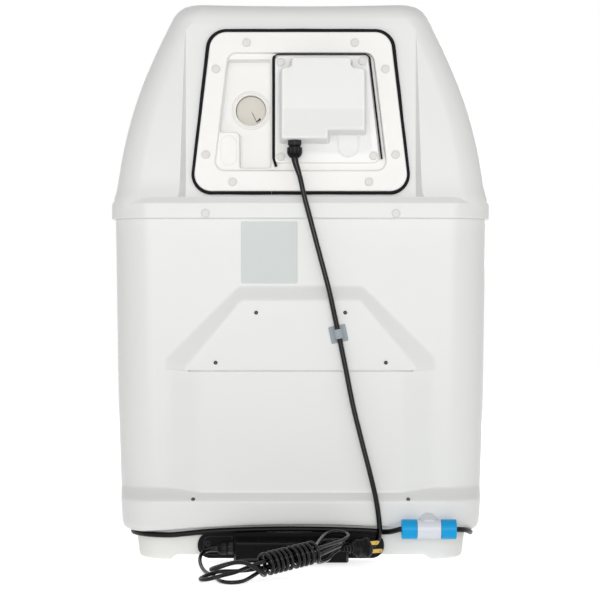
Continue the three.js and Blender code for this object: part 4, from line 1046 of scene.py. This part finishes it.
# Glands: name, node, start, direction, radius, length
glandRows = [
    ("fanGland", "fan_gland", (7.7, 286.6, 535), (0, 0, -1), 10, 24),
    ("mainsGland", "mains_gland", (84.3, 302.6, 18), (1, 0, 0), 7.5, 20.7),
    ("leadGland", "lead_gland", (-60.3, 291.6, 17), (-1, 0, 0), 7, 9.7),
]
flats, ribs = 6, -12  # of the nut and of the grip
glandSteps = [  # share of the length, share of the radius
    (0, 0.9, flats), (0.03, 0.99, flats), (0.3, 0.99, flats), (0.33, 0.92, flats), (0.34, 0.74),
    (0.43, 0.74), (0.44, 0.93, ribs), (0.47, 0.97, ribs), (0.74, 0.97, ribs), (0.78, 0.92), (0.86, 0.84),
    (0.94, 0.7), (1, 0.56),
]
for name, node, start, way, radius, long in glandRows:
    profile = [(share * long, size * radius, *edges) for share, size, *edges in glandSteps]
    dress(turned(name, profile, start, way, 72), "black", node, sharp=25)

# Cable clip
clip = {"x": -47.8, "y": 284.8, "z": 288, "turn": math.atan2(6.4, 30), "bridge": 5.55, "long": 12}
clipBase = plate("cableClip", (-11, -10.75), (11, 10.75), 1.6, 0, [(0, 0), (1.1, 0), (1.5, 0.4)])
bridgeFoot = [(8.6, 1.2), (8.4, 2), (6.6, 2.5), (5.75, 3.6)]
bridgeOutline = bridgeFoot + arcSpots(0, clip["bridge"], 5.65, 0, 181, 10)
bridgeOutline += [(-x, y) for x, y in bridgeFoot[::-1]] + [(-4.05, 1.2)]
bridgeOutline += arcSpots(0, clip["bridge"], 4.05, 180, -1, -10) + [(4.05, 1.2)]
join(clipBase, loft("bridge", [level(bridgeOutline, side * clip["long"] / 2) for side in (-1, 1)]))
clipBase.data.transform(Matrix.Rotation(clip["turn"], 4, "Y"))
clipBase.data.transform(Matrix.Translation([clip[axis] * mm for axis in "xyz"]))
dress(clipBase, "clip", "cable_clip")

# Rating label, left blank
label = plate("ratingLabel", (4, 352), (76, 431), 2.5, 276.1, [(0, 0), (0.5, 0), (0.7, 0.3)])
dress(label, "label", "rating_label")

# Terminal box on its plate
terminal = {"back": 282.6, "front": 327, "left": -60, "right": 84, "foot": 3, "top": 30.7}
plateSteps = [(-3, 0), (-0.7, 0), (-0.1, 0.5), (0, 1)]
terminalPlate = plate("terminalPlate", (-106, 3), (131, 36), 16.2, 282.3, plateSteps, fade=1)
join(terminalPlate, plate("ridge", (86, 7), (124, 32), [9, 9, 3, 3], 281, [(0, 0), (2.3, 0), (2.9, 0.7)]))
cut(terminalPlate, plate("sunk", (88.4, 9.4), (121.6, 29.6), [7.5, 7.5, 2, 2], 282.4, [(0, 0), (2.6, -0.8)]))
dress(terminalPlate, "black", "terminal_plate")
boxBack, boxFront, boxLeft, boxRight = (terminal[key] for key in ("back", "front", "left", "right"))
boxProfile = [
    (boxBack, terminal["foot"]), (boxFront - 3, terminal["foot"]), (boxFront, 6), (boxFront, 26.6),
    (boxFront - 1.5, 28), (boxBack, terminal["top"]),
]
boxPlan = [
    (boxRight, 270), (boxRight, 318), (boxRight - 5, 332), (boxLeft + 5, 332), (boxLeft, 318), (boxLeft, 270),
]
terminalBox = loft("terminalBox", [sideRing(boxProfile, x) for x in (boxLeft, boxRight)])
combine(terminalBox, [loft("plan", [level(boxPlan, z) for z in (-5, 50)])], "INTERSECT")
soften(terminalBox, 2.2, 5, 15)
# the inset keeps the painted edge highlight on the edges of the terminal box
insetFlats(terminalBox, 2)
dress(terminalBox, "gloss", "terminal_box")
plateScrew = [(0, 4.1), (0.7, 4.1), (1.6, 3.5), (2.1, 2.4), (2.2, 1.5), (1.2, 1.3), (1.1, 0.2)]
for number, (x, z) in enumerate([(118, 22), (-92, 17)], 1):
    screw = turned(f"plateScrew{number}", plateScrew, (x, terminal["back"], z), rearward, 32)
    dress(screw, "black", f"plate_screw_{number}", slotName="steel")
print("leads, clip and terminal box placed")

# Drain tee
tee = {"middle": (-161, 308, 43), "half": 34.5, "collar": 19.5, "radius": 12.5, "way": (0, -0.9, 0.436)}
middleHalf = tee["half"] - tee["collar"]
teeProfile = [(0.3 - middleHalf, 11.7), (middleHalf - 0.3, 11.7)]
teeBody = turned("drainTee", teeProfile, tee["middle"], sideways, 64)
branchProfile = [(0, 14.2), (9, 13.9), (13, 13.2), (17, 12.2), (26, 10.6)]
branch = turned("branch", branchProfile, tee["middle"], Vector(tee["way"]).normalized(), 64)
skirt = box("skirt", (-200, -130), (240, 294.3), (0, 120))
cut(branch, skirt, box("cap", (-200, -130), (280, 330), (62.6, 90)))
soften(branch, 1.2, 4, 40)
join(teeBody, branch)
dress(teeBody, "clear", "drain_tee")
radius, collar = tee["radius"], tee["collar"]
collarProfile = [
    (0, radius - 1.3), (0.2, radius - 0.4), (0.9, radius), (collar - 0.9, radius),
    (collar - 0.2, radius - 0.5), (collar, radius - 1.5),
]
for number, side in ((1, 1), (2, -1)):
    start = Vector(tee["middle"]) + Vector((side * middleHalf, 0, 0))
    ring = turned(f"teeCollar{number}", collarProfile, start, (side, 0, 0), 64)
    dress(ring, "blue", f"tee_collar_{number}")

# Base pan
pan = {"half": 212.5, "back": 279, "front": -260, "round": 48, "port": (216.8, 94.7, 32.9)}
panShape = [  # height, inset
    (6, 60), (6, 54), (6, 9.5), (6.3, 7.2), (7.2, 5.4), (8.8, 4.2), (12, 3.4), (20, 2.2), (37.3, 0), (50, 0),
]
panRings = []
for z, inset in panShape:
    corner = max(pan["round"] - inset, 2)
    half, back, front = pan["half"] - inset, pan["back"] - inset, pan["front"] + inset
    feet = []
    for x, y, height in planRing(z, half, back, front, corner, corner, (90, 60, 90, 22)):
        # the feet reach down below the four corners
        toCorner = min((abs(x) - 158) / 9, (max(y - 204, -y - 185)) / 9) if inset < 55 else 0
        share = min(max(toCorner, 0), 1)
        share = share * share * (3 - 2 * share) * max(0, (37.3 - height) / 31.3) ** 2
        feet.append((x, y, height - 6 * share))
    panRings.append(feet)
basePan = loft("basePan", panRings)
panCounts = (8, 8, 8, 22)
join(basePan, loft("rim", [planRing(z, 223.2, 289.7, -270.7, 43.7, 43.7, panCounts) for z in (50.2, 55.5)]))
panRoom = loft("room", [planRing(z, 205, 271.5, -252.5, 44, 44, panCounts) for z in (10, 50.2)])
cut(basePan, panRoom, box("mouth", (-155, 155), (-230, 239), (44, 60)))
portX, portY, portZ = pan["port"]
for side in (-1, 1):
    port = rod(4.3, 0, 25, (side * portX, portY, portZ), rearward, 32)
    webX = sorted((side * (portX - 6.3), side * portX))
    join(basePan, port, box("web", webX, (portY, portY + 25), (portZ - 4.3, portZ + 4.3)))
dress(basePan, "pan", "base_pan")
print("base pan placed")

# Seat, lid, hinge and bowl
hinge = {"y": 120, "z": 500, "pin": 4, "bore": 4.3, "knuckle": 9}
seat = {"half": 182, "reach": 187, "holeHalf": 105, "holeReach": 130}
hingeLine = (0, hinge["y"], hinge["z"])


def knuckle(start, end):  # the round end of a hinge lug
    return arcSpots(hinge["y"], hinge["z"], hinge["knuckle"], start, end, -10)


def pinRoom():
    return rod(hinge["bore"], -100, 100, hingeLine, sideways, 32)


def addLugs(piece, outline, places):
    lugs = [soften(loft("lug", [sideRing(outline, x), sideRing(outline, x + 16)]), 1, 3, 40) for x in places]
    join(piece, *lugs)
    cut(piece, pinRoom())


seatProfile = [  # share of the way from the hole to the rim, height
    (0.0, 491), (0.04, 488.6), (0.12, 488), (0.88, 488), (0.96, 488.8), (0.995, 491), (1.0, 495), (1.0, 501),
    (0.985, 505), (0.94, 508), (0.86, 509.6), (0.72, 510), (0.5, 509.2), (0.3, 507.2), (0.15, 504.2),
    (0.05, 500.4), (0.0, 496),
]
seatRings = []
for share, z in seatProfile:
    half = seat["holeHalf"] + (seat["half"] - seat["holeHalf"]) * share
    reach = seat["holeReach"] + (seat["reach"] - seat["holeReach"]) * share
    seatRings.append(oval(half, reach, z, 128))
seatRing = loft("seatRing", seatRings, closed=True)
addLugs(seatRing, knuckle(90, -91) + [(75, 491), (75, 509)], (-74, 58))
dress(seatRing, "body", "seat_ring", body="seat")
lidShape = [  # height, half width, reach
    (511.5, 150, 155), (511.6, 180, 184), (512.4, 183.2, 187.2), (514, 184, 188), (517, 184, 188),
    (519, 182.6, 186.4), (520.6, 179, 182.4), (521.6, 170, 173), (522.2, 152, 155), (522.5, 110, 112),
    (522.5, 4, 4),
]
seatLid = loft("seatLid", [oval(half, reach, z, 128) for z, half, reach in lidShape])
addLugs(seatLid, [(99.5, 503), (99.5, 520), (114, 519.4), (122, 515)] + knuckle(60, -171), (-54, 38))
dress(seatLid, "body", "seat_lid", body="lid")
bowlShape = [
    (450, 92, 118), (470, 101, 127), (484.2, 109.6, 134.6), (484.3, 120, 145), (485.2, 120.4, 145.4),
    (486.2, 120, 145), (486.3, 110.5, 135.5), (485.6, 108.4, 133.4), (470, 98, 124), (449, 88.8, 114.8),
]
bowl = loft("bowlLiner", [oval(half, reach, z) for z, half, reach in bowlShape], closed=True)
dress(bowl, "liner", "bowl_liner")
pin = hinge["pin"]
pinProfile = [(-93, pin - 0.6), (-92.4, pin), (92.4, pin), (93, pin - 0.6)]
dress(turned("hingePin", pinProfile, hingeLine, sideways, 32), "steel", "hinge_pin")
bracketOutline = roundedOutline([(110, 484.3), (130, 484.3), (130, 509), (110, 509)], [0, 0, 9, 9], 8)
for number, side in ((1, -1), (2, 1)):
    ends = sorted((side * 77, side * 93))
    bracket = loft(f"hingeBracket{number}", [sideRing(bracketOutline, x) for x in ends])
    soften(bracket, 1, 3, 50)
    cut(bracket, pinRoom())
    dress(bracket, "body", f"hinge_bracket_{number}")

# Drum, bearing, crank and knob
drumSize = {"radius": 158, "long": 410, "front": -207, "shaft": 14, "grooves": (24, 194, 376)}
radius, shaft, long = drumSize["radius"], drumSize["shaft"], drumSize["long"]
drumProfile = [
    (-81, shaft - 1.6), (-80, shaft), (-1, shaft), (0, shaft + 0.1), (0.2, radius - 6), (1.6, radius - 1.6),
    (5, radius),
]
for along in drumSize["grooves"]:
    drumProfile += [(along, radius), (along + 2, radius - 1), (along + 8, radius - 1), (along + 10, radius)]
drumProfile += [
    (long - 5, radius), (long - 1.6, radius - 1.6), (long - 0.2, radius - 6), (long, shaft + 0.1),
    (long + 1, shaft), (458.6, shaft),
]
drumFront = (0, drumSize["front"], drumAxle)
drum = turned("compostDrum", drumProfile, drumFront, rearward, 96)
mouth = soften(box("mouth", (-90, 90), (-189, 21), (323, 451)), 12, 6)
cut(drum, rod(radius - 4, 4, long - 4, drumFront, rearward, 96), mouth)
dress(drum, "drum", "compost_drum", body="drum")
bearingProfile = [(0, 20.3), (15.7, 20.3), (15.9, 28.3), (18, 28.3), (18.8, 27.4), (19, 26), (19, shaft + 2)]
bearing = turned("frontBearing", bearingProfile, (0, -259.3, drumAxle), frontward, 64)
cut(bearing, rod(shaft + 0.3, -5, 30, (0, -259, drumAxle), frontward, 64))
dress(bearing, "black", "front_bearing")

crank = {"reach": 82, "angle": -0.6, "face": -288.3}
knobX = -crank["reach"] * math.cos(crank["angle"])
knobZ = drumAxle + crank["reach"] * math.sin(crank["angle"])
hubProfile = [(0, 18.6), (1, 20), (8.6, 20), (9.6, 19.2), (10, 18), (10.1, 6), (9.4, 5.4)]
crankHub = turned("crankHandle", hubProfile, (0, crank["face"], drumAxle), frontward, 64)
crankWay = Vector((knobX, 0, knobZ - drumAxle)).normalized()
crankSide = Vector(frontward).cross(crankWay)
armRings = []
for share, half in ((0, 9.6), (0.25, 9), (0.6, 7.6), (1, 8.2)):
    spot = Vector((0, crank["face"] - 1.5, drumAxle)) + crankWay * crank["reach"] * share
    outline = roundedOutline([(half, 0), (half, 8.4), (-half, 8.4), (-half, 0)], [1, 2.4, 2.4, 1], 4)
    armRings.append([spot + crankSide * u + Vector((0, -v, 0)) for u, v in outline])
bossProfile = [  # with the pin that the knob turns on
    (0, 12), (0.8, 13), (9, 13), (9.8, 12.2), (10, 11), (10.05, 5.2), (34.8, 5), (34.9, 7.4), (37, 8),
    (37.7, 6.8), (37.8, 1),
]
crankBoss = turned("boss", bossProfile, (knobX, crank["face"], knobZ), frontward)
join(crankHub, loft("arm", armRings), crankBoss)
dress(crankHub, "black", "crank_handle", body="drum")
knobFoot, grip = (knobX, crank["face"] - 10.5, knobZ), -10  # ten grip ribs
knobProfile = [
    (0, 12.4), (0.8, 13.6), (2.6, 14, grip), (14, 13.4, grip), (21, 12.6, grip), (23, 11.6), (24, 9.6),
]
knob = turned("crankKnob", knobProfile, knobFoot, frontward, 80)
cut(knob, rod(5.3, -5, 30, knobFoot, frontward, 40))
dress(knob, "black", "crank_knob", body="knob")

# Finishing drawer
drawer = {"half": 165, "front": -277, "back": 190, "foot": 55.8, "top": 116, "wall": 3, "face": -275.3}
half, wall, back, foot = (drawer[key] for key in ("half", "wall", "back", "foot"))
drawerTray = box("finishingDrawer", (-half, half), (drawer["front"], back), (foot, drawer["top"]))
cut(drawerTray, box("room", (wall - half, half - wall), (-269, back - wall), (foot + wall, 125)))
faceSteps = [(0, 0), (-5.3, 0), (-7.1, 0.7), (-7.9, 2.2), (-8, 3.6)]
drawerFace = plate("face", (-177, 51.8), (177, 124), 8, drawer["face"], faceSteps, fade=0.5)
gripOutline = roundedOutline([(-307, 84), (-301, 84), (-301, 94), (-307, 94)], 2.6, 5)
gripBar = loft("grip", [sideRing(gripOutline, x) for x in (-60, 60)])
posts = [plate("post", (x, 84), (x + 10, 94), 2.6, -280, [(-25, 0), (0, 0)]) for x in (-60, 50)]
join(drawerTray, drawerFace, gripBar, *posts)
dress(drawerTray, "pan", "finishing_drawer", body="drawer")
print("seat, drum and drawer placed")

# The CAD nodes that stay in view get their finishes.
nodeFinishes = {
    "heating_element": "steel", "rear_bearing": "black", "fan_frame": "black", "fan_impeller": "black",
}
for node, name in nodeFinishes.items():
    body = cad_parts[node].data
    body.materials.clear()
    body.materials.append(materials[name])
    body.polygons.foreach_set("material_index", [0] * len(body.polygons))

# Floor, lamps and background
room = {
    "world": 0.17, "worldBehind": 0.84, "outlook": (0, 0.75, -0.66),
    "floorShade": 0.34, "floorGlow": 0.73, "floorHalf": 6,
}
lamps = {  # place, aim, size, power
    "key": ((0.05, 3.4, 0.62), (0, 0.28, 0.3), (2.1, 0.7), 20),
    "flash": ((-0.5, 3, 1.5), (0, 0.28, 0.35), (0.3, 0.12), 2.6),
    "fill": ((-0.4, -2.9, 1), (0, -0.28, 0.35), (1.8, 1.2), 32),
}


def whiteForViewer(tree, shade, glow):  # adds glow for the camera, gloss and glass
    ray = tree.nodes.new("ShaderNodeLightPath").outputs
    seen = larger(tree, larger(tree, ray["Is Camera Ray"], ray["Is Glossy Ray"]), ray["Is Transmission Ray"])
    return remapped(tree, seen, 0, 1, shade, glow)


world = bpy.data.worlds.new("studio")
world.use_nodes = True
bpy.context.scene.world = world
skyTree = world.node_tree
outlook = skyTree.nodes.new("ShaderNodeVectorMath")  # brighter behind the toilet, dimmer overhead
outlook.operation = "DOT_PRODUCT"
outlook.inputs[1].default_value = room["outlook"]
skyTree.links.new(skyTree.nodes.new("ShaderNodeTexCoord").outputs["Generated"], outlook.inputs[0])
behind = remapped(skyTree, outlook.outputs["Value"], -0.6, 0.6, room["world"], room["worldBehind"])
sky = skyTree.nodes["Background"].inputs
sky["Color"].default_value = (1, 1, 1, 1)
skyTree.links.new(whiteForViewer(skyTree, behind, 1), sky["Strength"])

reach = room["floorHalf"]
floorMesh = bpy.data.meshes.new("floor")
floorCorners = [(-reach, -reach, 0), (reach, -reach, 0), (reach, reach, 0), (-reach, reach, 0)]
floorMesh.from_pydata(floorCorners, [], [(0, 1, 2, 3)])
floor = bpy.data.objects.new("floor", floorMesh)
bpy.context.scene.collection.objects.link(floor)
floorFinish = bpy.data.materials.new("floor")
floorFinish.use_nodes = True
floorTree = floorFinish.node_tree
floorShader = floorTree.nodes["Principled BSDF"].inputs
floorShader["Base Color"].default_value = (0.9, 0.9, 0.9, 1)
floorShader["Roughness"].default_value = 0.9
floorShader["Specular IOR Level"].default_value = 0.1
floorShader["Emission Color"].default_value = (1, 1, 1, 1)
floorGlow = whiteForViewer(floorTree, room["floorShade"], room["floorGlow"])
floorTree.links.new(floorGlow, floorShader["Emission Strength"])
floor.data.materials.append(floorFinish)
floor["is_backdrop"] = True

for name, (spot, aim, size, power) in lamps.items():
    lamp = bpy.data.lights.new(name, "AREA")
    lamp.shape = "RECTANGLE"
    lamp.size, lamp.size_y = size
    lamp.energy = power
    softbox = bpy.data.objects.new(name, lamp)
    softbox.location = spot
    softbox.rotation_euler = (Vector(spot) - Vector(aim)).to_track_quat("Z", "Y").to_euler()
    bpy.context.scene.collection.objects.link(softbox)
bpy.context.scene.view_settings.view_transform = "Standard"
print("studio lit,", len(made), "pieces")

bpy.context.view_layer.update()
sizes = {"cad": cadBounds, "visual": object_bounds()}
{key: [list(corner) for corner in pair] for key, pair in sizes.items()}
